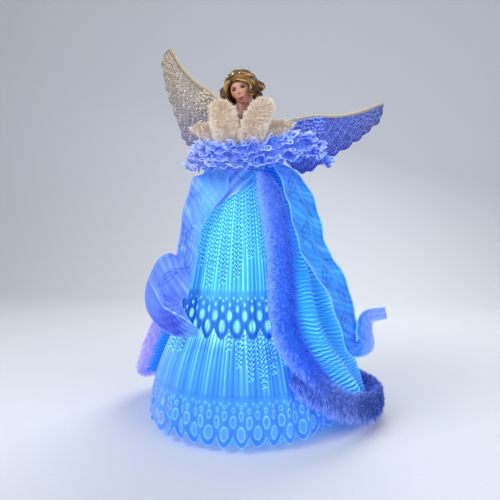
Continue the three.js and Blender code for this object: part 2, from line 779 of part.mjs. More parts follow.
// Ribbon band round the breast, over the gathers
const bandLow = upperTopHeight + seatGap;
const bandReach = Math.max(torsoRadius(bandLow), torsoRadius(bandLow + waistbandHeight)) + seatGap;
const waistband = turned([
  [bandReach, bandLow],
  [bandReach + waistbandThickness, bandLow],
  [bandReach + waistbandThickness, bandLow + waistbandHeight],
  [bandReach, bandLow + waistbandHeight],
]);
const stemRoom = block(
  stemWidth + 2 * runGap,
  wingPlane,
  stemHeight + 2 * runGap,
  0,
  wingPlane / 2,
  wingHingeHeight,
); // where the wing bracket's stem would pass the band
add("waistband", cut(waistband, stemRoom), litSash);

// Cloak: hung from the shoulders, open at the front, with soft folds and a longer back
const cloakTopHeight = wingHingeHeight - bracketHeight / 2; // just below the wing bracket
const cloakTopRadius = torsoRadius(cloakTopHeight) + seatGap + clothThickness;
const cloakFall = (z) => fallShare(z, cloakTopHeight, cloakHemHeight);
const cloakShape = (t) => 0.12 * smooth(t, 0, 0.2) + 0.88 * t ** 0.9;
const cloakLeftEdge = (t) =>
  lerp(28, 38.5, smooth(t, 0, 0.3)) - 4 * smooth(t, 0.35, 0.62) + 33 * smooth(t, 0.62, 1);
const cloakRightEdge = (t) => lerp(40, 118, smooth(t, 0, 0.3)) - 10 * smooth(t, 0.5, 0.85);
function cloakReach(degrees, z) {
  const t = cloakFall(z);
  const turn = degrees > 180 ? 360 - degrees : Math.abs(degrees);
  const behind = smooth(turn, 55, 115) * (1 - 0.4 * smooth(turn, 130, 180));
  return lerp(cloakTopRadius, cloakHemRadius, cloakShape(t)) + cloakTrain * behind * t ** 1.5;
}
function cloakPoint(u, z, lift = 0) {
  const t = cloakFall(z);
  const degrees = lerp(cloakLeftEdge(t), 360 - cloakRightEdge(t), u);
  const middle = smooth(u, 0.06, 0.2) * smooth(1 - u, 0.06, 0.2);
  const fold = cloakFoldDepth * t * middle * Math.cos(2 * Math.PI * cloakFolds * u);
  return polar(cloakReach(degrees, z) + fold + lift, degrees, z);
}
const cloakRows = 7;
const cloakRise = (u) => cloakCornerRise * (1 - smooth(Math.min(u, 1 - u), 0, 0.16));
const cloakHeights = Array.from({ length: cloakRows + 1 }, (_, row) =>
  lerp(cloakTopHeight, cloakHemHeight + cloakCornerRise, row / cloakRows),
);
const cloakColumns = 4 * cloakFolds;
add(
  "cloak",
  sheet(
    cloakColumns,
    cloakRows,
    (u, v) => cloakPoint(u, lerp(cloakTopHeight, cloakHemHeight + cloakRise(u), v)),
    (p) => inwards(p, clothThickness),
    false,
  ),
  litCloth,
);

// Fur: a band up each front edge of the cloak and one round its hem
const laceTopHeight = shoulderHeight - laceDrop;
const laceRidgeHeight = laceTopHeight + laceRise;
const laceHemHeight = laceTopHeight - laceFall;
const furLift = furHalfDepth + seatGap + 0.3;
const hemFurMiddle = cloakHemHeight - hemFurDrop + hemFurHalfHeight;
const frontFurEnd = hemFurMiddle + hemFurHalfHeight + cloakCornerRise + 0.55 * furHalfWidth + seatGap;
// A point over the cloak's edge, between the rows of its grid
function cloakEdge(u, z, lift) {
  const fall = (cloakTopHeight - z) / (cloakTopHeight - cloakHemHeight - cloakCornerRise);
  const row = Math.min(cloakRows - 1, Math.floor(fall * cloakRows));
  const [high, low] = [cloakHeights[row], cloakHeights[row + 1]];
  return cloakPoint(u, high, lift).lerp(cloakPoint(u, low, lift), (high - z) / (high - low));
}
const furSteps = 11;
function frontFur(edge) {
  const towards = edge ? -1 : 1;
  const high = edge ? lerp(cloakTopHeight, cloakHemHeight, 0.32) : laceHemHeight - 1;
  return sweepOval(
    Array.from({ length: furSteps + 1 }, (_, i) => {
      const z = lerp(high, frontFurEnd, i / furSteps);
      const at = cloakEdge(edge, z, furLift);
      const side = cloakEdge(Math.abs(edge - 0.02), z, furLift).sub(at).multiplyScalar(towards);
      return { at, side, halfWidth: furHalfWidth, halfDepth: furHalfDepth };
    }),
    10,
  );
}
add("fur_front_left", frontFur(0), litFur);
add("fur_front_right", frontFur(1), litFur);
const hemSteps = 34;
const hemFurStart = cloakLeftEdge(cloakFall(frontFurEnd)) - hemFurOverhang;
const hemFurStop = 360 - cloakRightEdge(cloakFall(frontFurEnd)) + hemFurOverhang;
add(
  "fur_hem",
  sweepOval(
    Array.from({ length: hemSteps + 1 }, (_, i) => {
      const share = i / hemSteps;
      const fromEnd = Math.min(share, 1 - share);
      const z = hemFurMiddle + cloakRise(0.7 * fromEnd);
      const degrees = lerp(hemFurStart, hemFurStop, share);
      const room = cloakFoldDepth * smooth(fromEnd, 0, 0.13);
      const at = polar(cloakReach(degrees, z) + room + furLift + 2.1, degrees, z);
      return { at, side: new THREE.Vector3(0, 0, 1), halfWidth: hemFurHalfHeight, halfDepth: furHalfDepth };
    }),
    8,
  ),
  litFur,
);

// Fur collar: two lapels from the nape to the breast, and a sleeve over each arm
for (const [name, side] of [["left", 1], ["right", -1]]) {
  const reach = shoulderRadius + 1;
  const lapel = [
    [3, reach - 4, neckHeight + 8, 0.66],
    [reach * 0.62, reach * 0.5, neckHeight + 7, 0.76],
    [reach * 0.9, -4, neckHeight + 5, 0.9],
    [reach * 0.88, -reach * 0.87, neckHeight - 2, 1],
    [collarFurRadius + 1, -reach - 11, shoulderHeight + 3, 1.06],
    [collarFurRadius - 3, -reach - 17, shoulderHeight - 11, 1],
  ];
  const spread = side < 0 ? -1.07 : 1;
  const line = new THREE.CatmullRomCurve3(
    lapel.map(([x, y, z]) => new THREE.Vector3(spread * x + collarShift * smooth(-y, 0, reach), y, z)),
  );
  const steps = 12;
  const stations = Array.from({ length: steps + 1 }, (_, i) => {
    const at = line.getPoint(i / steps);
    const swell = lapel[Math.min(lapel.length - 1, Math.round((i / steps) * (lapel.length - 1)))][3];
    const round = Math.sin(Math.PI * lerp(0.16, 0.86, i / steps)) ** 0.5;
    const radius = collarFurRadius * swell * round;
    return { at, side: new THREE.Vector3(side, 0, 0.6), halfWidth: radius, halfDepth: 0.85 * radius };
  });
  add(`fur_collar_${name}`, sweepOval(stations, 10), ivoryFur);
  const sleeveStart = torsoRadius(sleeveHeight) + seatGap;
  const sleeve = Array.from({ length: 9 }, (_, i) => {
    const share = i / 8;
    const reached = side * (sleeveStart + sleeveLength * share);
    const at = new THREE.Vector3(reached, -6 * share, sleeveHeight + 6 * share);
    const radius = sleeveRadius * Math.sin(Math.PI * lerp(0.1, 0.9, share)) ** 0.4;
    return { at, side: new THREE.Vector3(0, 0, 1), halfWidth: radius, halfDepth: 0.9 * radius };
  });
  add(`fur_sleeve_${name}`, sweepOval(sleeve, 10), ivoryFur);
}

// Clasp of beads that closes the collar
const claspSteps = 4 * claspBeads;
const claspTop = new THREE.Vector3(collarShift, -shoulderRadius - 10, shoulderHeight + 11);
const claspFoot = new THREE.Vector3(collarShift, -shoulderRadius - 14, shoulderHeight - 9);
add(
  "collar_clasp",
  sweepOval(
    Array.from({ length: claspSteps + 1 }, (_, i) => {
      const share = i / claspSteps;
      const at = claspTop.clone().lerp(claspFoot, share);
      const bead = Math.abs(Math.sin(Math.PI * claspBeads * lerp(0.04, 0.96, share)));
      const radius = claspRadius * (0.5 + 0.5 * bead);
      return { at, side: new THREE.Vector3(1, 0, 0), halfWidth: radius, halfDepth: radius };
    }),
    8,
  ),
  goldMetal,
);

// Lace collar: one gathered ruffle that rises from the cloak, turns over and falls, spread wide on the left
const laceColumns = 4 * laceWaves;
const laceRows = 4;
add(
  "lace_collar",
  sheet(
    laceColumns,
    laceRows,
    (u, v) => {
      const degrees = lerp(-laceEnd, laceEnd, u);
      const spread = smooth(degrees, 15, 75);
      const drawn = smooth(-degrees, 30, 80);
      const before = 1 - smooth(Math.abs(degrees), 25, 60);
      const top = laceTopHeight - laceDip * before;
      const high = laceRidgeHeight - laceDip * before;
      const low = laceHemHeight + 12 * spread + 13 * drawn;
      const seat = cloakReach(degrees, top) + seatGap + 2 * clothThickness;
      const ridge = laceRidgeRadius + 0.7 * laceSpread * spread - 6 * drawn;
      const hem = laceHemRadius + laceSpread * spread - 13 * drawn;
      const wave = laceWaveDepth * v * Math.sin(2 * Math.PI * laceWaves * u);
      const rising = v < 0.5;
      const share = rising ? 2 * v : 2 * v - 1;
      const reach = rising ? lerp(seat, ridge, share) : lerp(ridge, hem, share);
      const height = rising ? lerp(top, high, Math.sqrt(share)) : lerp(high, low, share ** 1.3);
      return polar(reach + wave, degrees, height + 0.3 * wave);
    },
    (p, u, v) => inwards(p, clothThickness * smooth(v, 0, 0.6)).setZ(p.z - clothThickness),
    false,
  ),
  litLace,
);

// Sashes of wired ribbon: each falls from a shoulder and ends in a free curl. A station gives a share of
// the cloak's reach, an angle, a share of its fall, a share of the ribbon's width and the way it faces.
const cloakHeight = (fall) => lerp(cloakTopHeight, cloakHemHeight, fall);
function sash(line) {
  const middle = new THREE.CatmullRomCurve3(
    line.map(([share, degrees, fall]) => {
      const z = cloakHeight(fall);
      return polar(share * cloakReach(degrees, z), degrees, z);
    }),
  );
  const steps = 2 * (line.length - 1);
  const rings = Array.from({ length: steps + 1 }, (_, i) => {
    const place = (i / steps) * (line.length - 1);
    const low = Math.min(Math.floor(place), line.length - 2);
    const between = (k) => lerp(line[low][k], line[low + 1][k], place - low);
    const half = (sashWidth / 2) * between(3);
    const at = middle.getPoint(i / steps);
    const along = middle.getTangent(i / steps);
    const out = polar(1, between(4), 0);
    out.addScaledVector(along, -out.dot(along)).normalize();
    const side = along.clone().cross(out);
    const lift = (k) => 0.06 * half * Math.cos(2 * Math.PI * k);
    const offset = (k, depth) =>
      at.clone().addScaledVector(side, half * k).addScaledVector(out, lift(k) + depth);
    const strip = [-1, -0.5, 0, 0.5, 1];
    const front = strip.map((k) => offset(k, clothThickness / 2));
    const back = strip.map((k) => offset(k, -clothThickness / 2));
    return [...front, ...back.reverse()];
  });
  return loft(rings);
}
const leftTuck = cloakHeight(0.073);
const leftSash = [
  [1 + 1.8 / cloakReach(68, leftTuck), 68, 0.073, 0.4, 68],
  [1.211, 68, 0.126, 0.8, 62],
  [1.219, 68, 0.205, 0.96, 58],
  [1.21, 68, 0.298, 0.96, 56],
  [1.188, 68, 0.384, 0.9, 56],
  [1.254, 68, 0.444, 0.82, 56],
  [1.338, 69, 0.51, 0.74, 56],
  [1.327, 70, 0.589, 0.64, 54],
  [1.303, 71, 0.662, 0.52, 50],
  [1.291, 72, 0.725, 0.42, 40],
  [1.365, 74, 0.719, 0.4, 20],
  [1.464, 76, 0.675, 0.36, 10],
  [1.565, 78, 0.636, 0.32, 10],
  [1.679, 80, 0.613, 0.28, 10],
];
const rightTuck = bandLow + waistbandHeight / 2;
const rightTuckReach = bandReach + waistbandThickness + seatGap + 0.6 * clothThickness;
const rightSash = [
  [rightTuckReach / cloakReach(-33, rightTuck), -33, cloakFall(rightTuck), 0.4, -33],
  [0.94, -34, 0.162, 0.91, -18],
  [0.986, -38, 0.217, 0.82, -25],
  [1.027, -41, 0.272, 0.74, -32],
  [1.021, -42.6, 0.325, 0.68, -34],
  [1.017, -41.7, 0.377, 0.62, -32],
  [1.061, -39, 0.424, 0.6, -22],
  [1.14, -42, 0.47, 0.95, -14],
  [1.169, -43, 0.523, 1, -12],
  [1.149, -42, 0.576, 0.95, -12],
  [1.097, -36, 0.619, 0.7, -12],
  [1.052, -27, 0.646, 0.42, -12],
  [1.017, -18, 0.662, 0.12, -12],
];
add("sash_left", sash(leftSash), litSash);
add("sash_right", sash(rightSash), litSash);

// Wings: each a scalloped cloth panel with a row of coverts and a corded rim, on an arm that turns
// on a rivet
const armFront = wingPlane - seatGap - armThickness;
const plateBack = armFront - runGap;
const plateFront = plateBack - bracketThickness;

// Turns a flat outline in the XZ plane into a board that starts at depth front
function board(shape, front, thickness) {
  const plan = { depth: thickness, bevelEnabled: false, curveSegments: 4 };
  const geometry = new THREE.ExtrudeGeometry(shape, plan);
  return geometry.rotateX(-Math.PI / 2).translate(0, front, 0).scale(1, 1, -1);
}
const flat = (line) => line.map(([x, z]) => new THREE.Vector2(x, z));

// An outline between a smooth upper edge and a lower edge of feather tips
function feathered(upper, lower, tips, depth) {
  const top = new THREE.SplineCurve(flat(upper)).getPoints(18);
  const line = new THREE.SplineCurve(flat(lower));
  const shape = new THREE.Shape(top);
  for (let i = 0; i < tips; i++) {
    const from = line.getPoint(i / tips);
    const to = line.getPoint((i + 1) / tips);
    const out = new THREE.Vector2(to.y - from.y, from.x - to.x).normalize();
    const middle = from.clone().add(to).multiplyScalar(0.5).addScaledVector(out, -2 * depth);
    shape.quadraticCurveTo(middle.x, middle.y, to.x, to.y);
  }
  shape.closePath();
  return shape;
}
const wingScale = wingLength / 148;
const wingUpper = [[11, 9], [24, 15], [46, 15], [70, 12], [82, 8], [95, 4], [110, 2], [127, 2], [148, 5]];
const wingLower = [
  [148, 5], [141, -13], [128, -21], [114, -29], [98, -36], [77, -43], [62, -48], [46, -54], [33, -52],
  [20, -30], [11, -9],
];
const scaled = (line) => line.map(([x, z]) => [x * wingScale, z * wingScale * wingChord]);
const wingShape = feathered(scaled(wingUpper), scaled(wingLower), wingScallops, wingScallopDepth);
const covertUpper = [[36, 13], [58, 11.5], [82, 6], [104, 1.5]];
const covertLower = [[104, 1.5], [88, -10], [66, -15], [46, -17], [36, -12]];
const covertShape = feathered(scaled(covertUpper), scaled(covertLower), 6, wingScallopDepth * 0.7);
const armShape = new THREE.Shape()
  .moveTo(0, -armRadius)
  .lineTo(armReach, -armRadius / 2)
  .lineTo(armReach, armRadius / 2)
  .lineTo(0, armRadius)
  .absarc(0, 0, armRadius, Math.PI / 2, (3 * Math.PI) / 2);
armShape.holes.push(new THREE.Path().absarc(0, 0, rivetRadius + runGap, 0, 2 * Math.PI, true));

for (const [name, side, raise] of [["left", 1, leftWingRaise], ["right", -1, rightWingRaise]]) {
  const hinge = new THREE.Vector3((side * wingHingeSpacing) / 2, 0, wingHingeHeight);
  const place = (geometry) => {
    const set = geometry.scale(side, 1, 1).rotateY(-side * radians(raise)).translate(...hinge);
    return solidGeometry(solid(set));
  };
  add(`wing_arm_${name}`, place(board(armShape, armFront, armThickness)), whitePlastic);
  add(`wing_panel_${name}`, place(board(wingShape, wingPlane, wingThickness)), wingCloth);
  const covertFront = wingPlane - seatGap - covertThickness;
  add(`wing_coverts_${name}`, place(board(covertShape, covertFront, covertThickness)), wingCloth);
  const rimLine = new THREE.SplineCurve(flat(scaled(wingUpper))).getPoints(18).slice(0, -1);
  const rim = rimLine.map((p, i) => {
    const before = rimLine[Math.max(i - 1, 0)];
    const after = rimLine[Math.min(i + 1, rimLine.length - 1)];
    const out = new THREE.Vector2(before.y - after.y, after.x - before.x).normalize();
    const at = p.clone().addScaledVector(out, wingRimRadius + seatGap);
    const middle = new THREE.Vector3(at.x, wingPlane + wingThickness / 2, at.y);
    const across = new THREE.Vector3(0, 1, 0);
    return { at: middle, side: across, halfWidth: wingRimRadius, halfDepth: wingRimRadius };
  });
  add(`wing_rim_${name}`, place(sweepOval(rim, 6)), wingRimGold);
  const rivet = turned(
    [
      [0, plateFront - runGap - rivetHeadThickness],
      [rivetHeadRadius, plateFront - runGap - rivetHeadThickness],
      [rivetHeadRadius, plateFront - runGap],
      [rivetRadius, plateFront - runGap],
      [rivetRadius, wingPlane - seatGap + runGap],
      [rivetHeadRadius, wingPlane - seatGap + runGap],
      [rivetHeadRadius, wingPlane - seatGap + runGap + rivetHeadThickness],
      [0, wingPlane - seatGap + runGap + rivetHeadThickness],
    ],
    12,
  );
  add(`wing_rivet_${name}`, rivet.rotateX(-Math.PI / 2).translate(...hinge), steel);
}

// Bracket that carries both wings, screwed to the figure's back above the cloak
const stemFront = torsoRadius(wingHingeHeight - stemHeight / 2) + seatGap;
const stemLength = plateFront - stemFront + 0.5;
const bracketWidth = wingHingeSpacing + 2 * armRadius;
const holeAt = (x, radius) =>
  rod(radius, -2 * wingPlane, 2 * wingPlane, 12).rotateX(Math.PI / 2).translate(x, 0, wingHingeHeight);
const bracket = cut(
  join(
    block(bracketWidth, bracketThickness, bracketHeight, 0, (plateFront + plateBack) / 2, wingHingeHeight),
    block(stemWidth, stemLength, stemHeight, 0, stemFront + stemLength / 2, wingHingeHeight),
  ),
  holeAt(wingHingeSpacing / 2, rivetRadius + runGap),
  holeAt(-wingHingeSpacing / 2, rivetRadius + runGap),
  holeAt(0, bracketScrewRadius + runGap),
);
add("wing_bracket", bracket, whitePlastic);
const bracketScrew = turned(
  [
    [0, stemFront - 10],
    [bracketScrewRadius, stemFront - 10],
    [bracketScrewRadius, plateBack + runGap],
    [2 * bracketScrewRadius, plateBack + runGap],
    [1.4 * bracketScrewRadius, plateBack + runGap + 1.2],
    [0, plateBack + runGap + 1.2],
  ],
  12,
);
add("bracket_screw", bracketScrew.rotateX(-Math.PI / 2).translate(0, 0, wingHingeHeight), steel);

export default root;
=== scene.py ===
import math

import bpy
import numpy as np
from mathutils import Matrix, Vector


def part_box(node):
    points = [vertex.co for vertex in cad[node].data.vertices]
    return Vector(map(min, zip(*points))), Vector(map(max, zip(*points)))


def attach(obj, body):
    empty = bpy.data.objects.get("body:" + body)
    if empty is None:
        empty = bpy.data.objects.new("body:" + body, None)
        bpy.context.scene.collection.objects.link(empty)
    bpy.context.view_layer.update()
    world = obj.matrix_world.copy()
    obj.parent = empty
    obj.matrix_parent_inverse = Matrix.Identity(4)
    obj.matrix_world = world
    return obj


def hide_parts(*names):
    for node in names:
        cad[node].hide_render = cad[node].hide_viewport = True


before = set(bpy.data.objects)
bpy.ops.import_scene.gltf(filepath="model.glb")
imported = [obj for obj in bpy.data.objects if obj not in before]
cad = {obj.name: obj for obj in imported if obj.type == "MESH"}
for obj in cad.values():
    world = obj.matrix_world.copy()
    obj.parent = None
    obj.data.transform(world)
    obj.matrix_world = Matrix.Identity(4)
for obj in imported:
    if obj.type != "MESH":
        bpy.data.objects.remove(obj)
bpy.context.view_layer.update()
scene = bpy.context.scene
scene.view_settings.view_transform = "Standard"
print("frame loaded,", len(cad), "nodes")

mm = 0.001  # shapes below are worked out in millimetres


def lerp(a, b, t):
    return a + (b - a) * t


def smooth(x, low, high):
    t = np.clip((np.asarray(x, float) - low) / (high - low), 0, 1)
    return t * t * (3 - 2 * t)


def polar(reach, degrees, z):  # angle from the front towards the angel's left
    turn = np.radians(degrees)
    return np.stack(np.broadcast_arrays(reach * np.sin(turn), -reach * np.cos(turn), z), -1).astype(float)


def unit(v):
    return v / np.maximum(np.linalg.norm(v, axis=-1, keepdims=True), 1e-9)


def bell(x, wide):  # 1 on a line, less to each side of it
    return np.exp(-((x / wide) ** 2))


def toned(tone):  # the range of tone that the finishes take
    return np.clip(tone, 0.02, 1.15)


def lengthAlong(line):
    return np.concatenate([[0], np.cumsum(np.linalg.norm(np.diff(line, axis=0), axis=1))])


def throughPoints(points, count):  # smooth line through points
    p = np.asarray(points, float)
    last = len(p) - 1
    p = np.vstack([2 * p[0] - p[1], p, 2 * p[-1] - p[-2]])
    place = np.linspace(0, last, count)
    i = np.minimum(place.astype(int), last - 1)
    t = (place - i)[:, None]
    a, b, c, d = p[i], p[i + 1], p[i + 2], p[i + 3]
    g = [np.maximum(np.linalg.norm(v - u, axis=1, keepdims=True), 1e-6) ** 0.5
         for u, v in ((a, b), (b, c), (c, d))]
    m1 = ((b - a) / g[0] - (c - a) / (g[0] + g[1]) + (c - b) / g[1]) * g[1]
    m2 = ((c - b) / g[1] - (d - b) / (g[1] + g[2]) + (d - c) / g[2]) * g[1]
    return b + m1 * t + (-3 * b + 3 * c - 2 * m1 - m2) * t**2 + (2 * b - 2 * c + m1 + m2) * t**3


def gridFaces(rows, columns):
    at = np.arange(rows * columns).reshape(rows, columns)
    return np.stack([at[:-1, :-1], at[1:, :-1], at[1:, 1:], at[:-1, 1:]], -1).reshape(-1, 4)


def gridUv(rows, columns):
    v, u = np.meshgrid(np.linspace(1, 0, rows), np.linspace(0, 1, columns), indexing="ij")
    return np.stack([u, v], -1).reshape(-1, 2)


def bundle(parts):  # joins (points, faces, tone) shapes of one face size
    points, faces, tone, start = [], [], [], 0
    for part in parts:
        points.append(np.asarray(part[0], float).reshape(-1, 3))
        faces.append(part[1] + start)
        tone.append(np.broadcast_to(part[2], len(points[-1])))
        start += len(points[-1])
    return np.vstack(points), np.vstack(faces), np.concatenate(tone)


def tubes(lines, radii, sides):  # round cords along lines of equal point count
    lines = np.asarray(lines, float)
    n, k = lines.shape[:2]
    along = unit(np.gradient(lines, axis=1))
    steep = np.abs(along[:, 0, 2:3]) < 0.9
    s = np.where(steep, [[0, 0, 1.0]], [[1.0, 0, 0]])
    side = np.zeros_like(lines)
    for i in range(k):
        s = unit(s - (s * along[:, i]).sum(-1, keepdims=True) * along[:, i])
        side[:, i] = s
    up = np.cross(along, side)
    turn = np.linspace(0, 2 * math.pi, sides, endpoint=False)[:, None]
    ring = side[:, :, None] * np.cos(turn) + up[:, :, None] * np.sin(turn)
    points = lines[:, :, None] + ring * np.broadcast_to(radii, (n, k))[..., None, None]
    at = np.arange(n * k * sides).reshape(n, k, sides)
    after = np.roll(at, -1, axis=2)
    faces = np.stack([at[:, :-1], after[:, :-1], after[:, 1:], at[:, 1:]], -1).reshape(-1, 4)
    return points.reshape(-1, 3), faces


def grains(at, along, up, length, width, height):  # raised stitches, one at each place
    along = unit(along - (along * up).sum(-1, keepdims=True) * up)
    across = np.cross(up, along)
    count = len(at)
    spread = lambda x: np.broadcast_to(np.asarray(x, float).reshape(-1, 1), (count, 1))
    l, w, h = spread(length) / 2, spread(width) / 2, spread(height)
    shape = [at - along * l, at - across * w, at + across * w, at + along * l,
             at - along * l * 0.45 + up * h, at + along * l * 0.45 + up * h]
    points = np.stack(shape, 1)
    tri = np.array([[0, 1, 4], [0, 4, 2], [1, 5, 4], [2, 4, 5], [1, 3, 5], [2, 5, 3]])
    faces = (np.arange(count)[:, None, None] * 6 + tri).reshape(-1, 3)
    return points.reshape(-1, 3), faces


def makePiece(name, points, faces, finishes, body="figure", slot=None, tone=None, uv=None, worn=None,
              paint=None):  # faces: one array, or one for each face size
    groups = faces if isinstance(faces, list) else [faces]
    sizes = np.concatenate([np.full(len(g), g.shape[1]) for g in groups])
    corners = np.concatenate([g.ravel() for g in groups]).astype(np.int32)
    points = np.asarray(points, float).reshape(-1, 3)
    mesh = bpy.data.meshes.new(name)
    mesh.vertices.add(len(points))
    mesh.vertices.foreach_set("co", (points * mm).astype(np.float32).ravel())
    mesh.loops.add(len(corners))
    mesh.loops.foreach_set("vertex_index", corners)
    mesh.polygons.add(len(sizes))
    mesh.polygons.foreach_set("loop_start", (np.cumsum(sizes) - sizes).astype(np.int32))
    for finish in finishes if isinstance(finishes, list) else [finishes]:
        mesh.materials.append(finish)
    if worn is not None:
        mesh.polygons.foreach_set("material_index", np.asarray(worn, np.int32))
    mesh.update(calc_edges=True)
    mesh.polygons.foreach_set("use_smooth", np.ones(len(sizes), bool))
    if tone is not None:
        layer = mesh.attributes.new("tone", "FLOAT", "POINT")
        layer.data.foreach_set("value", np.asarray(tone, np.float32))
    if paint is not None:
        layer = mesh.attributes.new("paint", "FLOAT_COLOR", "POINT")
        layer.data.foreach_set("color", np.asarray(paint, np.float32).ravel())
    if uv is not None:
        layer = mesh.uv_layers.new(name="OFBake")
        layer.uv.foreach_set("vector", np.asarray(uv, np.float32)[corners].ravel())
    mesh.validate()
    piece = bpy.data.objects.new(name, mesh)
    scene.collection.objects.link(piece)
    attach(piece, body)
    return piece


# Materials


def linear(colour):  # sRGB hex to linear
    parts = [int(colour[i:i + 2], 16) / 255 for i in (1, 3, 5)]
    return [c / 12.92 if c <= 0.04045 else ((c + 0.055) / 1.055) ** 2.4 for c in parts] + [1.0]


def add(tree, kind, inputs=None, stops=None, **settings):  # one node with its settings and links
    made = tree.nodes.new(kind)
    for key, value in settings.items():
        setattr(made, key, value)
    for socket, value in (inputs or {}).items():
        if isinstance(value, bpy.types.NodeSocket):
            tree.links.new(value, made.inputs[socket])
        else:
            made.inputs[socket].default_value = value
    for k, (place, colour) in enumerate(stops or []):
        stop = made.color_ramp.elements[k] if k < 2 else made.color_ramp.elements.new(place)
        stop.position, stop.color = place, linear(colour)
    return made


def mix(tree, share, low, high, **settings):
    return add(tree, "ShaderNodeMix", {0: share, 6: low, 7: high}, data_type="RGBA", **settings).outputs[2]


def ranged(tree, value, low, high, toLow=0.0, toHigh=1.0, way="SMOOTHSTEP"):
    sockets = {"Value": value, "From Min": low, "From Max": high, "To Min": toLow, "To Max": toHigh}
    return add(tree, "ShaderNodeMapRange", sockets, interpolation_type=way).outputs[0]


def noise(tree, place, size, detail):  # size in millimetres
    return add(tree, "ShaderNodeTexNoise", {"Vector": place, "Scale": 1 / (size * mm), "Detail": detail}).outputs[0]


def reckon(tree, operation, *values):
    return add(tree, "ShaderNodeMath", dict(enumerate(values)), operation=operation).outputs[0]


def bumped(tree, height, strength, deep):  # deep in millimetres
    sockets = {"Strength": strength, "Distance": deep * mm, "Height": height}
    return add(tree, "ShaderNodeBump", sockets).outputs[0]


def newFinish(name, **sockets):
    finish = bpy.data.materials.new(name)
    finish.use_nodes = True
    tree = finish.node_tree
    shader = tree.nodes["Principled BSDF"]
    for socket, value in sockets.items():
        shader.inputs[socket.replace("_", " ")].default_value = value
    return finish, tree, shader, add(tree, "ShaderNodeTexCoord").outputs["Object"]


def feed(tree, shader, **sources):
    for socket, source in sources.items():
        tree.links.new(source, shader.inputs[socket.replace("_", " ")])


clothLook = {"mottleSize": 22, "threadGap": 3, "bump": 0.35, "bumpDeep": 0.25, "crestFrom": 0.72, "crestTo": 1.15,
             "crestShare": 0.75, "lampReach": 46, "lampShare": 0.5, "lampTint": "#a8f6fc"}


def clothFinish(name, plan):  # colour along an axis, threads, painted shade and highlight along the mesh's creases, painted light through the cloth
    finish, tree, shader, place = newFinish(
        name, Roughness=plan["roughness"], Emission_Strength=plan["glow"], Sheen_Weight=plan["sheen"],
        Sheen_Roughness=0.4, Specular_IOR_Level=0.3)
    look = clothLook
    axes = add(tree, "ShaderNodeSeparateXYZ", {0: place}).outputs
    axis, low, high = plan["run"]
    along = ranged(tree, axes[axis], low * mm, high * mm, way="LINEAR")
    cloud = noise(tree, place, look["mottleSize"], 3.0)
    uneven = reckon(tree, "MULTIPLY_ADD", cloud, plan["mottle"], along)
    centred = reckon(tree, "SUBTRACT", uneven, plan["mottle"] / 2)
    base = add(tree, "ShaderNodeValToRGB", {0: centred}, stops=plan["stops"]).outputs[0]
    # tone carries painted shade in the creases and painted highlight on the ridges
    crease = add(tree, "ShaderNodeAttribute", attribute_name="tone").outputs["Fac"]
    scale = 1 / (plan["thread"] * look["threadGap"] * mm)
    wave = {"Vector": place, "Scale": scale, "Distortion": 0.6, "Detail": 1.0}
    threads = [add(tree, "ShaderNodeTexWave", wave, bands_direction=way).outputs[1] for way in ("X", "Z")]
    weave = reckon(tree, "MULTIPLY", *threads)
    shade = reckon(tree, "MULTIPLY_ADD", weave, plan["threadShade"], crease)
    # painted shade: the fold colour darkens the creases
    dark = mix(tree, 1.0, base, linear(plan["fold"]), blend_type="MULTIPLY")
    colour = mix(tree, shade, dark, base)
    # painted highlight: the crest colour lightens the ridges
    ridge = ranged(tree, shade, look["crestFrom"], look["crestTo"], 0.0, look["crestShare"])
    colour = mix(tree, ridge, colour, linear(plan["crest"]))
    for tint, low, high, share in plan.get("aside", []):  # painted light and shade: another tint towards one side, which the lamps light differently
        colour = mix(tree, ranged(tree, axes["X"], low * mm, high * mm, 0.0, share), colour, linear(tint))
    for spot in plan.get("lamps", []):  # paler where a lamp shines through
        gap = add(tree, "ShaderNodeVectorMath", {0: place, 1: spot}, operation="DISTANCE").outputs["Value"]
        near = ranged(tree, gap, 0.0, look["lampReach"] * mm, look["lampShare"], 0.0)
        colour = mix(tree, near, colour, linear(look["lampTint"]))
    lit = colour
    if "shine" in plan:  # more light comes through higher up
        low, high, least = plan["shine"]
        through = ranged(tree, axes["Z"], low * mm, high * mm, least)
        lit = mix(tree, 1.0, colour, through, blend_type="MULTIPLY")
    # the emission makes the cloth glow in its own colour, painted light of the lamps inside
    feed(tree, shader, Base_Color=colour, Emission_Color=lit,
         Normal=bumped(tree, weave, look["bump"], look["bumpDeep"]))
    return finish


# In every cloth finish: fold is the colour of painted shade in the creases, crest that of painted highlight on the
# ridges, and glow makes the cloth glow as painted light
organza = {"thread": 0.9, "threadShade": 0.08, "roughness": 0.6, "sheen": 0.2}
lace = {"thread": 0.8, "threadShade": 0.14, "roughness": 0.7, "sheen": 0.3}
wiredRibbon = {"mottle": 0.35, "thread": 0.8, "threadShade": 0.12, "roughness": 0.42, "sheen": 0.3}
fur = {"thread": 2.0, "threadShade": 0.05, "roughness": 0.9, "sheen": 0.4}
satin = {"mottle": 0.35, "thread": 0.8, "threadShade": 0.12, "roughness": 0.4, "sheen": 0.2}
lampSpots = [(sum(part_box(f"led_lamp_{k}"), Vector()) / 2)[:] for k in range(1, 6)]
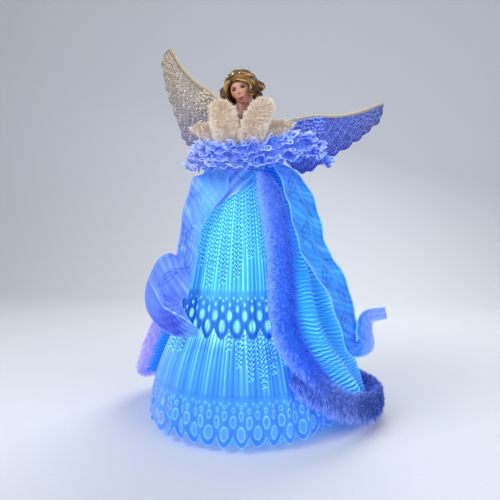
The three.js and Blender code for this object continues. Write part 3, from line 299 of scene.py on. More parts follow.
# Polyester organza, pleated by heat: sheer, so the lamps inside colour it cyan at the middle and blue at the hem
organzaLower = clothFinish("organza_pleated_lower", {
    "run": ("Z", 0, 165), "mottle": 0.16, **organza, "glow": 0.95, "fold": "#3a86cc", "crest": "#94f8fe",
    "lamps": lampSpots, "shine": (92, 114, 0.4),
    # painted light: paler lilac towards its right side, where the lamps' blue light falls less
    "aside": [("#6f9cf8", -40, -105, 0.7)],
    "stops": [(0.0, "#4a86f0"), (0.3, "#459af4"), (0.58, "#4fb2f6"), (0.7, "#a4f8fc")]})
organzaUpper = clothFinish("organza_pleated_upper", {
    "run": ("Z", 106, 282), "mottle": 0.14, **organza, "glow": 0.42, "fold": "#4a98d0", "crest": "#8cfafe",
    "lamps": lampSpots,
    "stops": [(0.0, "#42a2f0"), (0.3, "#4cc4f2"), (0.6, "#60dcf6"), (1.0, "#58bcf4")]})
# Schiffli lace on net: thicker than the organza, so the lamps' painted light leaves it a deeper blue, and only its
# stitched rims are light, a painted highlight
laceHem = clothFinish("schiffli_lace_hem", {
    "run": ("Z", 0, 56), "mottle": 0.2, **lace, "glow": 0.36, "fold": "#5a90d4", "crest": "#7cc4fc",
    # painted light: paler lilac towards its right side, where the lamps' blue light falls less
    "aside": [("#7898fa", -50, -105, 0.7)],
    "stops": [(0.0, "#4a86f2"), (0.4, "#4592f4"), (0.85, "#469cf6"), (1.0, "#48a2f8")]})
laceUpper = clothFinish("schiffli_lace_upper", {
    "run": ("Z", 104, 156), "mottle": 0.2, **lace, "glow": 0.2, "fold": "#3f78c4", "crest": "#5cb8f6",
    "stops": [(0.0, "#2a7ce0"), (0.45, "#3088e6"), (0.75, "#3ea2f0"), (0.97, "#60dcfa")]})
# Collar lace: lilac to blue across it, painted light of the lamps
laceCollarFinish = clothFinish("schiffli_lace_collar", {
    "run": ("X", -70, 105), "mottle": 0.3, "thread": 0.8, "threadShade": 0.16, "roughness": 0.7,
    "sheen": 0.3, "glow": 0.28, "fold": "#5a70b8", "crest": "#c8dcff",
    "stops": [(0.0, "#a2a8e2"), (0.3, "#82a2f2"), (0.6, "#7098f4"), (1.0, "#5a7eee")]})
# Crinkled polyester (plisse): set in fine cross creases, lit through
crinkle = clothFinish("polyester_crinkled", {
    "run": ("Z", 10, 314), "mottle": 0.25, "thread": 1.0, "threadShade": 0.06, "roughness": 0.62,
    "sheen": 0.25, "glow": 0.44, "fold": "#2878c8", "crest": "#7eecfe",
    "stops": [(0.0, "#3a9cf4"), (0.35, "#32b6f4"), (0.7, "#3ac0f4"), (1.0, "#56a8f2")]})
# Jacquard ribbon with wired edges: satin ground, matt leaf outlines
ribbonLeft = clothFinish("ribbon_jacquard_left", {
    "run": ("Z", 90, 290), **wiredRibbon, "glow": 0.32, "fold": "#3a74c4", "crest": "#84ccfe",
    # painted light: paler lilac towards its outer end
    "aside": [("#8c9af2", 128, 144, 0.55)],
    "stops": [(0.0, "#3a8af0"), (0.4, "#2c9cf2"), (0.8, "#38a2f4"), (1.0, "#66a8f6")]})
ribbonRight = clothFinish("ribbon_jacquard_right", {
    "run": ("Z", 110, 286), **wiredRibbon, "glow": 0.3, "fold": "#4c66c4", "crest": "#a0ccfe",
    # painted light: lilac towards its outer end, and cyan where it lies over the lit skirt
    "aside": [("#7696f2", -62, -100, 0.55), ("#58b2f6", -52, -34, 0.5)],
    "stops": [(0.0, "#5878e8"), (0.4, "#608ef6"), (0.75, "#6aa2f8"), (1.0, "#88aef8")]})
# Sheer organza of the drape: pale lilac, cyan where the lamps reach it
organzaDrape = clothFinish("organza_sheer_drape", {
    "run": ("X", -46, 14), "mottle": 0.3, "thread": 0.9, "threadShade": 0.1, "roughness": 0.5,
    "sheen": 0.3, "glow": 0.32, "fold": "#4c70c8", "crest": "#b4d8fe",
    "stops": [(0.0, "#6a94f4"), (0.35, "#8aa8f8"), (0.65, "#84b0f8"), (1.0, "#62bcf8")]})
# Rayon embroidery thread, raised on the organza
stitchLit = clothFinish("rayon_thread_lit", {
    "run": ("Z", 80, 260), "mottle": 0.2, "thread": 0.8, "threadShade": 0.1, "roughness": 0.4,
    "sheen": 0.1, "glow": 0.45, "fold": "#3a7cc0", "crest": "#8efcfe",
    "stops": [(0.0, "#3a8eea"), (0.5, "#3ea6ec"), (1.0, "#4cbcee")]})
# Rabbit-look acrylic fur cloth, white: tone darkens each hair's root, painted shade deep in the pile; the blue and
# lilac of the front and hem are painted light of the lamps
furFront = clothFinish("acrylic_fur_front", {
    "run": ("Z", 20, 285), "mottle": 0.3, **fur, "glow": 0.3, "fold": "#3f66c8", "crest": "#98b6fe",
    "stops": [(0.05, "#5c80e2"), (0.2, "#4a88f4"), (0.35, "#4090f8"), (0.65, "#58a0fa"), (1.0, "#82aef8")]})
furHemFinish = clothFinish("acrylic_fur_hem", {
    "run": ("X", -140, 145), "mottle": 0.14, **fur, "glow": 0.22, "fold": "#4254ac", "crest": "#a8b8fc",
    # painted light: paler lilac towards its right end, where the lamps' blue light falls less
    "aside": [("#c0bcf2", -72, -112, 0.8)],
    "stops": [(0.0, "#b8b8f2"), (0.3, "#8a9ef0"), (0.72, "#4c86f2"),
              (0.84, "#6c98ee"), (0.92, "#7698e2"), (1.0, "#3c62bc")]})
# the same white fur on its right front, painted paler lilac where the lamps' blue light falls less
furPale = clothFinish("acrylic_fur_pale", {
    "run": ("Z", 30, 220), "mottle": 0.4, **fur, "glow": 0.34, "fold": "#c0c2ee", "crest": "#e6e0fc",
    "stops": [(0.0, "#bcbaf2"), (0.2, "#c6bcec"), (0.5, "#a8b4f4"), (1.0, "#92a8f4")]})
furIvory = clothFinish("acrylic_fur_ivory", {
    "run": ("Z", 300, 360), "mottle": 0.3, **fur, "glow": 0.12, "fold": "#c8b8a8", "crest": "#fffaf0",
    "stops": [(0.0, "#dad6ea"), (0.3, "#f0e9e0"), (0.7, "#f0e6d8"), (1.0, "#e8dcc8")]})
# Satin wings: the one in the lamps' light turns blue, the raised one stays cream
wingLit = clothFinish("satin_embroidered_lit", {
    "run": ("X", 30, 160), **satin, "glow": 0.16, "fold": "#2a377c", "crest": "#9db0f6",
    "stops": [(0.0, "#5c84f4"), (0.4, "#4c6ade"), (0.75, "#4a5ec2"), (1.0, "#545ea4")]})
wingPale = clothFinish("satin_embroidered_pale", {
    "run": ("Z", 325, 440), **satin, "glow": 0.04, "fold": "#3e3644", "crest": "#fdf4e6",
    "stops": [(0.0, "#a6a0d0"), (0.35, "#bcb2b6"), (0.7, "#bcae9e"), (1.0, "#b0a086")]})
# Metallised cord, twisted
goldCord = clothFinish("cord_gold_twisted", {
    "run": ("Z", 300, 440), "mottle": 0.2, "thread": 0.8, "threadShade": 0.2, "roughness": 0.35,
    "sheen": 0.1, "glow": 0.04, "fold": "#8a744c", "crest": "#f0e2bc",
    "stops": [(0.0, "#d8c8a0"), (0.5, "#dccba4"), (1.0, "#cdb88c")]})


def hardFinish(name, colour, roughness, metallic=0.0, grit=1.5, deep=0.12, glow=0.0, coat=0.0, speck=0.25):
    finish, tree, shader, place = newFinish(name, Metallic=metallic, Emission_Strength=glow, Coat_Weight=coat)
    cloud, grain = noise(tree, place, 18, 4.0), noise(tree, place, grit, 2.0)
    dark = [c * (1 - speck) for c in linear(colour)[:3]] + [1.0]
    tint = mix(tree, cloud, dark, linear(colour))
    rough = ranged(tree, grain, 0.0, 1.0, max(0.02, roughness - 0.08), roughness + 0.1, "LINEAR")
    feed(tree, shader, Base_Color=tint, Emission_Color=tint, Roughness=rough, Normal=bumped(tree, grain, 0.3, deep))
    return finish


# Moulded cone, glowing with the lamps behind it
coneFinish = hardFinish("polypropylene_milky", "#74ccf6", 0.45, glow=0.42, speck=0.55)
whiteAbs = hardFinish("abs_white_moulded", "#e6e6e2", 0.45, grit=0.9, speck=0.08)
blackAbs = hardFinish("abs_black_moulded", "#22242a", 0.5, grit=0.9)
leadPvc = hardFinish("pvc_lead_sleeve", "#e4e6e4", 0.35, grit=2.0, speck=0.1)
lampEpoxy = hardFinish("epoxy_lamp_lit", "#aef2ff", 0.12, glow=1.2, coat=0.5, speck=0.05)  # clear dome, always lit
nickel = hardFinish("steel_nickel_plated", "#b8babd", 0.3, metallic=1.0, grit=0.6, deep=0.05)
cellSleeve = hardFinish("pvc_shrink_sleeve", "#3f6b45", 0.35, grit=3.0)
jet = hardFinish("glass_jet_bead", "#3a2c22", 0.2, coat=0.6)  # dark beads of the collar's clasp
giltBrass = hardFinish("brass_gilt", "#b08c4c", 0.34, metallic=1.0, grit=0.7, deep=0.05)
# painted shade: darker than the cotton is, for the shaded gap between the lapels
bodice = hardFinish("cotton_bodice", "#96786a", 0.8, grit=0.8, deep=0.3)
# painted light: the crystal is made to glow a little
crystal = hardFinish("glass_crystal", "#f4f8ff", 0.06, coat=1.0, glow=0.1, speck=0.05)
# the lit copies are the same pearls and sequins painted blue, as in the lamps' light; the beads' small glow is painted
# light
pearl = hardFinish("pearl_bead", "#d2c6b4", 0.22, coat=0.6, speck=0.1, glow=0.05)
pearlLit = hardFinish("pearl_bead_lit", "#7690ec", 0.22, coat=0.6, speck=0.1, glow=0.15)
sequin = hardFinish("sequin_film", "#e2dad0", 0.18, metallic=0.5, speck=0.15)
sequinLit = hardFinish("sequin_film_lit", "#7f9ef2", 0.2, metallic=0.5, speck=0.15, glow=0.1)

bare = {
    "support_cone": coneFinish, "lamp_lead": leadPvc, "battery_box": whiteAbs, "battery_lid": whiteAbs,
    "wing_bracket": whiteAbs, "switch_slider": blackAbs, "switch_body": blackAbs, "contact_bridge": nickel,
    "lid_pin": nickel, "bracket_screw": nickel, "torso": bodice, "tiara": giltBrass, "collar_clasp": jet}
for finish, starts in ((whiteAbs, ("lamp_holder", "wing_arm")), (lampEpoxy, "led_lamp"), (cellSleeve, "battery_cell"),
                       (nickel, ("box_screw", "cell_spring", "wing_rivet"))):
    bare.update({name: finish for name in cad if name.startswith(starts)})
for name, finish in bare.items():  # nodes that stay as they are get their real finish
    cad[name].data.materials.clear()
    cad[name].data.materials.append(finish)
print("materials made,", len(bpy.data.materials))


# Camera, floor and lights
view = {"azimuth": 10, "away": 577, "height": 216, "focal": 502, "axisX": 243, "horizonY": 230, "frame": 500}
turn = math.radians(view["azimuth"])
ahead = Vector((-math.sin(turn), math.cos(turn), 0))
across = Vector((math.cos(turn), math.sin(turn), 0))
up = Vector((0, 0, 1))
lens = bpy.data.cameras.new("camera")
lens.sensor_width = 36
lens.lens = 36 * view["focal"] / view["frame"]
lens.clip_start = 0.01
eye = bpy.data.objects.new("camera", lens)
scene.collection.objects.link(eye)
eye.location = (up * view["height"] - ahead * view["away"]) * mm
middle = view["frame"] / 2
look = ahead + (across * (middle - view["axisX"]) - up * (middle - view["horizonY"])) / view["focal"]
eye.rotation_euler = look.to_track_quat("-Z", "Y").to_euler()
scene.camera = eye

floorPlan = {"width": 3.0, "front": -1.6, "back": 0.9, "bend": 0.5, "top": 2.0}
profile = [(floorPlan["front"], 0.0), (floorPlan["back"], 0.0)]
profile += [(floorPlan["back"] + floorPlan["bend"] * math.sin(a), floorPlan["bend"] * (1 - math.cos(a)))
            for a in np.linspace(0, math.pi / 2, 13)[1:]]
profile += [(floorPlan["back"] + floorPlan["bend"], floorPlan["top"])]
sweep = np.array([[(x, y, z) for x in (-floorPlan["width"], floorPlan["width"])] for y, z in profile])
paper, tree, shader, place = newFinish("paper_backdrop", Roughness=0.85)  # seamless paper, faint tooth
tooth = noise(tree, place, 4, 2.0)
feed(tree, shader, Base_Color=mix(tree, tooth, linear("#d6d9df"), linear("#dcdfe4")))
sheetMesh = bpy.data.meshes.new("backdrop")
sheetMesh.from_pydata(sweep.reshape(-1, 3).tolist(), [], gridFaces(len(profile), 2).tolist())
sheetMesh.materials.append(paper)
sheetMesh.polygons.foreach_set("use_smooth", [True] * len(sheetMesh.polygons))
backdrop = bpy.data.objects.new("backdrop", sheetMesh)
scene.collection.objects.link(backdrop)

world = scene.world or bpy.data.worlds.new("world")
scene.world = world
world.use_nodes = True
sky = world.node_tree.nodes.get("Background") or world.node_tree.nodes.new("ShaderNodeBackground")
sky.inputs[0].default_value = linear("#dfe3ea")
sky.inputs[1].default_value = 0.5
for spot in (
    {"name": "key", "at": (-0.75, -0.9, 0.95), "size": 0.9, "watts": 13},
    {"name": "fill", "at": (0.95, -0.75, 0.55), "size": 1.0, "watts": 6},
    {"name": "back", "at": (0.25, 0.85, 1.05), "size": 0.8, "watts": 9},
):
    lamp = bpy.data.lights.new(spot["name"], "AREA")
    lamp.size, lamp.energy = spot["size"], spot["watts"]
    holder = bpy.data.objects.new(spot["name"], lamp)
    scene.collection.objects.link(holder)
    holder.location = spot["at"]
    holder.rotation_euler = (Vector((0, 0, 0.2)) - holder.location).to_track_quat("-Z", "Y").to_euler()
print("camera, floor and lights set")


# Dress: two pleated tiers, each with an eyelet lace hem
clothGap = 1.35  # from what a cloth hangs on to the cloth's middle
coneReach = lambda z: 78 - 0.252 * z
torsoReach = lambda z: np.interp(z, [250.35, 277, 304, 327, 334.65, 344], [18, 22.95, 27, 25, 14.6, 9])
lowerTier = {
    "name": "skirtLower", "node": "skirt_lower", "lace": laceHem, "cloth": organzaLower, "top": 165, "hem": 7,
    "topReach": coneReach(165) + clothGap, "hemReach": 104, "shape": lambda t: np.sin(math.pi / 2 * t**0.92),
    "pleats": 30, "pleatDepth": 2.2, "fine": 120, "fineDepth": 1.0, "scallops": 40, "lobe": 10.5, "band": 47,
    "rows": 40, "turn": 4.5, "fade": 0.5}
upperTier = {
    "name": "skirtUpper", "node": "skirt_upper", "lace": laceUpper, "cloth": organzaUpper, "top": 282, "hem": 106,
    "topReach": torsoReach(282) + clothGap, "hemReach": 82, "shape": lambda t: t**0.6,
    "pleats": 27, "pleatDepth": 1.4, "fine": 108, "fineDepth": 0.8, "scallops": 32, "lobe": 11.5, "band": 47,
    "rows": 44, "turn": 0.0, "fade": 0.0}
# Holes of a lace: place across a scallop, height, half sizes
tierLace = {"per": 24, "point": 2.1, "edgeHigh": 25, "edge": 1.1, "step": 0.72, "holes": [
    (0.5, 13.5, 3.2, 5.6), (0.0, 24.0, 2.3, 4.6), (0.5, 30.5, 1.5, 2.9), (0.0, 35.0, 1.0, 1.7),
    (0.5, 38.5, 0.9, 1.1), (0.25, 41.0, 0.8, 0.9), (0.75, 41.0, 0.8, 0.9)]}


def tierFolds(plan, degrees, z):  # pleats at a place: how far out, and the tone of their painted shade and highlight
    v = np.clip((plan["top"] - z) / (plan["top"] - plan["hem"]), 0, 1)
    rad = np.radians(degrees)
    drift = 0.8 * np.sin(3 * rad + 1) + 0.6 * np.sin(7 * rad + 2.1) + 0.4 * np.sin(13 * rad)
    main = np.cos(plan["pleats"] * rad + 0.7 * drift)
    wide = plan["fine"] * rad + 2.2 * drift + 0.8 * np.sin(9 * rad + 4 * v)
    fine = np.sin(wide + 0.6 * np.sin(wide))
    lace = smooth(z - plan["hem"], plan["band"] + 4, plan["band"] - 3)
    deep = 0.75 + 0.5 * np.sin(17 * rad + 3 * v) * np.sin(5 * rad + 1)  # no two pleats alike
    thread = np.sin(2.3 * wide + 3 * np.sin(11 * rad))
    crease = bell(fine + 1, 0.3)  # painted shade: a thin dark line along each pleat's inner edge
    out = plan["pleatDepth"] * v * main + plan["fineDepth"] * deep * (0.45 + 0.55 * v) * fine * (1 - 0.65 * lace)
    # how strongly the pleats' shade and highlight are painted: less on the lace and just above it
    shadeStrength = (1 - 0.6 * lace) * (1 - plan["fade"] * smooth(z - plan["hem"], plan["band"] + 50, plan["band"] + 8))
    return out, 0.54 + (0.3 * fine + 0.1 * thread - 0.3 * crease) * shadeStrength + 0.12 * main


def tierReach(plan, degrees, z):
    v = np.clip((plan["top"] - z) / (plan["top"] - plan["hem"]), 0, 1)
    return lerp(plan["topReach"], plan["hemReach"], plan["shape"](v)) + tierFolds(plan, degrees, z)[0]


def cutHoles(s, h, holes, pitch):  # opens eyelets in a grid and rounds their edges
    gone = np.zeros((s.shape[0] - 1, s.shape[1] - 1), bool)
    rim = np.zeros_like(s)
    middleOf = lambda a: (a[:-1, :-1] + a[1:, :-1] + a[:-1, 1:] + a[1:, 1:]) / 4
    for place, rise, halfWide, halfHigh in holes:
        offset = lambda x: ((x / pitch - place + 0.5) % 1 - 0.5) * pitch
        inside = np.hypot(offset(middleOf(s)) / halfWide, (middleOf(h) - rise) / halfHigh) < 1
        touch = np.zeros(s.shape, int)
        for a in (slice(None, -1), slice(1, None)):
            for b in (slice(None, -1), slice(1, None)):
                touch[a, b] += inside
        ds, dh = offset(s), h - rise
        q = np.maximum(np.hypot(ds / halfWide, dh / halfHigh), 0.3)
        pull = np.where((touch > 0) & (touch < 4), 1 / q - 1, 0)
        s, h = s + ds * pull, h + dh * pull
        rim = np.maximum(rim, bell((np.hypot(ds / halfWide, dh / halfHigh) - 1.1) * halfWide, 0.75))
        gone |= inside
    return s, h, gone, rim


def laceGrid(levels, kind):  # places along and above the hem, opened faces and raised rims of a scalloped lace
    pitch, per = kind["pitch"], kind["per"]
    h, s = np.meshgrid(levels, np.arange(kind["count"] * per + 1) * pitch / per, indexing="ij")
    lobe = kind["lobe"] * np.abs(2 * ((s / pitch) % 1) - 1) ** kind["point"]
    h = h + lobe * np.clip(1 - h / kind["lobeHigh"], 0, 1) ** 1.5
    edge = bell(h - lobe * (h < kind["edgeHigh"]), kind["edge"])  # overcast
    s, h, gone, rim = cutHoles(s, h, kind["holes"], pitch)
    return s, h, gone, np.maximum(rim, edge)


def keepUsed(faces, *arrays):
    used, faces = np.unique(faces, return_inverse=True)
    return faces.reshape(-1, 4), [a[used] for a in arrays]


def laceTier(plan):
    pitch = 2 * math.pi * plan["hemReach"] / plan["scallops"]
    height = plan["top"] - plan["hem"]
    levels = np.concatenate([np.linspace(height, plan["band"], plan["rows"], endpoint=False),
                             np.linspace(plan["band"], 0, int(plan["band"] / tierLace["step"]))])
    s, h, gone, rim = laceGrid(levels, {**tierLace, "pitch": pitch, "count": plan["scallops"], "lobe": plan["lobe"],
                                        "lobeHigh": plan["band"]})
    degrees = 180 + plan["turn"] + 360 * s / (pitch * plan["scallops"])
    z = plan["hem"] + h
    ridge = tierFolds(plan, degrees, z)[1]
    lace = smooth(h, plan["band"] + 0.5, plan["band"] - 0.5)
    seam = bell(h - plan["band"], 0.9)
    points = polar(tierReach(plan, degrees, z) + 0.5 * rim + 0.6 * seam + 0.25 * lace, degrees, z)
    # tone: the pleats' painted shade and highlight, a painted highlight on the eyelets' rims, darker along the seam
    tone = np.clip(lerp(0.1 + 0.95 * ridge, 0.25 + 0.5 * ridge + 0.6 * rim, lace) - 0.12 * seam, 0, 1.1)
    kept = ~gone.ravel()
    faces = gridFaces(*s.shape)[kept]
    worn = (levels[:-1, None] < plan["band"] + 0.01).repeat(s.shape[1] - 1, 1).ravel()[kept]
    faces, (points, tone, uv) = keepUsed(faces, points.reshape(-1, 3), tone.ravel(), gridUv(*s.shape))
    piece = makePiece(plan["name"], points, faces, [plan["cloth"], plan["lace"]], slot="pleated_organza", tone=tone,
                      uv=uv, worn=worn)
    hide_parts(plan["node"])


laceTier(lowerTier)
laceTier(upperTier)

# Embroidery: zigzag rows of thread in columns, darkened by painted shade, with stitches between them made bright by
# painted highlight
stitchWork = {"row": 4.4, "wave": 1.15, "waves": 3, "cord": 0.5, "leaf": (2.6, 1.3, 0.8), "seed": 5}
upperWork = {"from": -82, "to": 82, "column": 12.4, "half": 5.4, "high": 266,
             "low": [(-80, 190), (-34, 184), (-22, 164), (2, 166), (10, 186), (80, 192)]}
lowerWork = {"patches": [(22, 22, 70), (-50, 15, 86), (84, 15, 76), (150, 15, 80), (-145, 15, 80)],  # middle, half, low
             "high": 113, "column": 7.6, "half": 3.4}


def stitchOn(plan, degrees, z, lean, length, width, lift):
    at = polar(tierReach(plan, degrees, z) + 0.15, degrees, z)
    out = unit(polar(np.ones_like(degrees), degrees, 0.35))
    side = polar(np.ones_like(degrees), degrees + 90, 0.0)
    upward = unit(np.cross(out, side))
    upward = upward * np.sign(upward[:, 2:3])
    along = upward * np.cos(np.radians(lean))[:, None] + side * np.sin(np.radians(lean))[:, None]
    return grains(at, along, out, length, width, lift)


pick = np.random.default_rng(stitchWork["seed"])
upperColumns = [(d, upperWork["high"], np.interp(d, *zip(*upperWork["low"])))
                for d in np.arange(upperWork["from"], upperWork["to"], upperWork["column"])]
lowerColumns = [(middleAt + d, lowerWork["high"], lerp(lowerWork["high"], low, 1 - (d / wide) ** 2 / 2))
                for middleAt, wide, low in lowerWork["patches"] for d in np.arange(-wide, wide, lowerWork["column"])]
share = np.linspace(-1, 1, 25)
for name, tier, half, columns in (("embroideryUpper", upperTier, upperWork["half"], upperColumns),
                                  ("embroideryLower", lowerTier, lowerWork["half"], lowerColumns)):
    cords, spots = [], []
    for k, (d, high, low) in enumerate(columns):
        end = low + pick.uniform(-5, 5)
        for z in np.arange(high - 2.2 * (k % 2), end, -stitchWork["row"]):
            across = d + half * lerp(1.0, 0.45, smooth(z, end + 26, end)) * share  # each column ends in a point
            wave = stitchWork["wave"] * np.sin(share * math.pi * stitchWork["waves"] + pick.normal(0, 0.35))
            drop = z + wave - 2.2 * share**2 + pick.normal(0, 0.3)
            cords.append(polar(tierReach(tier, across, drop) + 0.3, across, drop))
            spots += list(zip(across[2::4], drop[2::4] - 2.0, (-35, 35, -35, 35, -35, 35)))
    spots = np.array(spots)
    rows = tubes(cords, stitchWork["cord"], 5)
    leaves = stitchOn(tier, *spots.T, *stitchWork["leaf"])
    # painted shade on the rows of thread, painted highlight on the stitches between them
    tone = np.concatenate([np.full(len(rows[0]), 0.38), np.full(len(leaves[0]), 1.15)])
    makePiece(name, np.vstack([rows[0], leaves[0]]), [rows[1], leaves[1] + len(rows[0])], stitchLit,
              slot="pleated_organza", tone=tone)

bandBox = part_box("waistband")
band = {"low": bandBox[0].z / mm, "high": bandBox[1].z / mm, "reach": bandBox[1].x / mm, "ribs": 72}
v, d = np.meshgrid(np.linspace(0, 1, 12), np.linspace(0, 360, 433), indexing="ij")
swell = np.sin(math.pi * v) ** 0.5
ribs = 0.35 * np.cos(np.radians(d) * band["ribs"])
points = polar(band["reach"] - 1.3 + 0.9 * swell + ribs * swell, d, lerp(band["high"], band["low"], v))
# tone: painted shade and highlight across the ribs
sashBand = makePiece("waistRibbon", points, gridFaces(*v.shape), ribbonLeft, slot="sash_ribbon",
                     tone=(0.5 + ribs).ravel(), uv=gridUv(*v.shape))
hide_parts("waistband")

# Sheer drape crossed over the breast, its lower edge rising to the middle
drape = {"from": -56, "to": 26, "top": 290, "lift": 3.2,
         "edge": [(-56, 214), (-34, 229), (-14, 247), (4, 256), (16, 261), (26, 265)]}
w, d = np.meshgrid(np.linspace(0, 1, 60), np.linspace(drape["from"], drape["to"], 150), indexing="ij")
low = np.interp(d, *zip(*drape["edge"]))
z = lerp(drape["top"], low, w)
share = np.clip((upperTier["top"] - z) / (upperTier["top"] - upperTier["hem"]), 0, 1)
reach = lerp(upperTier["topReach"], upperTier["hemReach"], upperTier["shape"](share))
reach = reach + drape["lift"] + 2.5 * smooth(z, 268, 284)
pull = np.sin(w * 15 + d / 7 + 1.5 * np.sin(d / 19)) * smooth(w, 0, 0.3)  # folds drawn across
ring = bell(np.hypot((d + 22) / 11, (w - 0.55) / 0.3) - 1, 0.09)
curl = ring + bell(w - 0.4 - 0.25 * np.sin(d / 9), 0.03)  # woven tendrils
hemLine = bell((1 - w) * (drape["top"] - low), 1.2)
# tone: painted shade and highlight over the folds, darker along the woven tendrils, lighter along the hem
breast = makePiece("breastDrape", polar(reach + 0.8 * pull + 0.4 * hemLine, d, z), gridFaces(*d.shape), organzaDrape,
                   slot="sash_ribbon", tone=toned(0.62 + 0.2 * pull - 0.35 * curl + 0.3 * hemLine).ravel(),
                   uv=gridUv(*d.shape))
print("dress made")


# Cloak: one crinkled sheet from the shoulders, thrown back on its right side
cloakPlan = {"top": 314, "hem": 12, "topReach": torsoReach(314) + clothGap, "hemReach": 118, "train": 34,
             "cornerRise": 20, "folds": 8, "foldDepth": 5, "columns": 250, "rows": 430,
             "crease": 4.5, "creaseDepth": 0.9}


def cloakFall(z):
    return np.clip((cloakPlan["top"] - z) / (cloakPlan["top"] - cloakPlan["hem"]), 0, 1)


def cloakEdges(t):
    left = lerp(28, 38.5, smooth(t, 0, 0.3)) - 4 * smooth(t, 0.35, 0.62) + 33 * smooth(t, 0.62, 1)
    return left, lerp(40, 118, smooth(t, 0, 0.3)) - 10 * smooth(t, 0.5, 0.85)


def cloakReach(degrees, z):
    t = cloakFall(z)
    aside = np.where(degrees > 180, 360 - degrees, np.abs(degrees))
    behind = smooth(aside, 55, 115) * (1 - 0.4 * smooth(aside, 130, 180))
    shape = 0.12 * smooth(t, 0, 0.2) + 0.88 * t**0.9
    return lerp(cloakPlan["topReach"], cloakPlan["hemReach"], shape) + cloakPlan["train"] * behind * t**1.5


def cloakAt(u, z, lift=0.0):  # from its left front edge, round the back, to the right one
    t = cloakFall(z)
    left, right = cloakEdges(t)
    degrees = lerp(left, 360 - right, u)
    inner = smooth(u, 0.06, 0.2) * smooth(1 - u, 0.06, 0.2)
    fold = cloakPlan["foldDepth"] * t * inner * np.cos(2 * math.pi * cloakPlan["folds"] * u)
    return polar(cloakReach(degrees, z) + fold + lift, degrees, z)


cloakRise = lambda u: cloakPlan["cornerRise"] * (1 - smooth(np.minimum(u, 1 - u), 0, 0.16))
v, u = np.meshgrid(np.linspace(0, 1, cloakPlan["rows"]), np.linspace(0, 1, cloakPlan["columns"]), indexing="ij")
z = lerp(cloakPlan["top"], cloakPlan["hem"] + cloakRise(u), v)
run = u * 330 * (0.3 + v)  # millimetres across, about
slip = 2.2 * np.sin(run / 19 + z / 31) + 1.5 * np.sin(run / 7.3 - z / 17 + 2) + 0.8 * np.sin(run / 3.9 + z / 9 + 4)
ply = np.sin(2 * math.pi * z / cloakPlan["crease"] + slip) * (0.7 + 0.3 * np.sin(run / 11 + z / 5))
finePly = np.sin(2 * math.pi * z / (cloakPlan["crease"] * 0.62) - 1.4 * slip + 1)
draw = smooth(v, 0.04, 0.2) * (0.72 + 0.28 * np.sin(run / 26 + z / 48))
lift = cloakPlan["creaseDepth"] * draw * (ply + 0.4 * finePly)
shaded = 1 - smooth(run, 15, 30)  # beside the front fur
strong = 1 - 0.45 * smooth(u, 0.18, 0.3)  # the lamps draw the creases out in front
# tone: painted shade in the crinkles' hollows and highlight on their crests, painted shade beside the front fur and in
# the big folds
tone = 0.6 + strong * draw * (0.7 * ply + 0.3 * finePly) - 0.5 * shaded
tone = toned(tone + 0.12 * np.cos(2 * math.pi * cloakPlan["folds"] * u))
cloak = makePiece("cloakCloth", cloakAt(u, z, lift), gridFaces(*u.shape), crinkle, slot="crinkled_cloth",
                  tone=tone.ravel(), uv=gridUv(*u.shape))
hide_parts("cloak")
print("cloak made")


# Fur: a soft core with hairs in tufts, each hair a tapered blade
furHair = {"tuft": 2.8, "lean": 1.0, "hair": 0.32, "sag": 0.8, "turned": 0.0, "root": 0.25, "taper": 5}
tuftKinds = 4099  # leans and shades that the tufts share


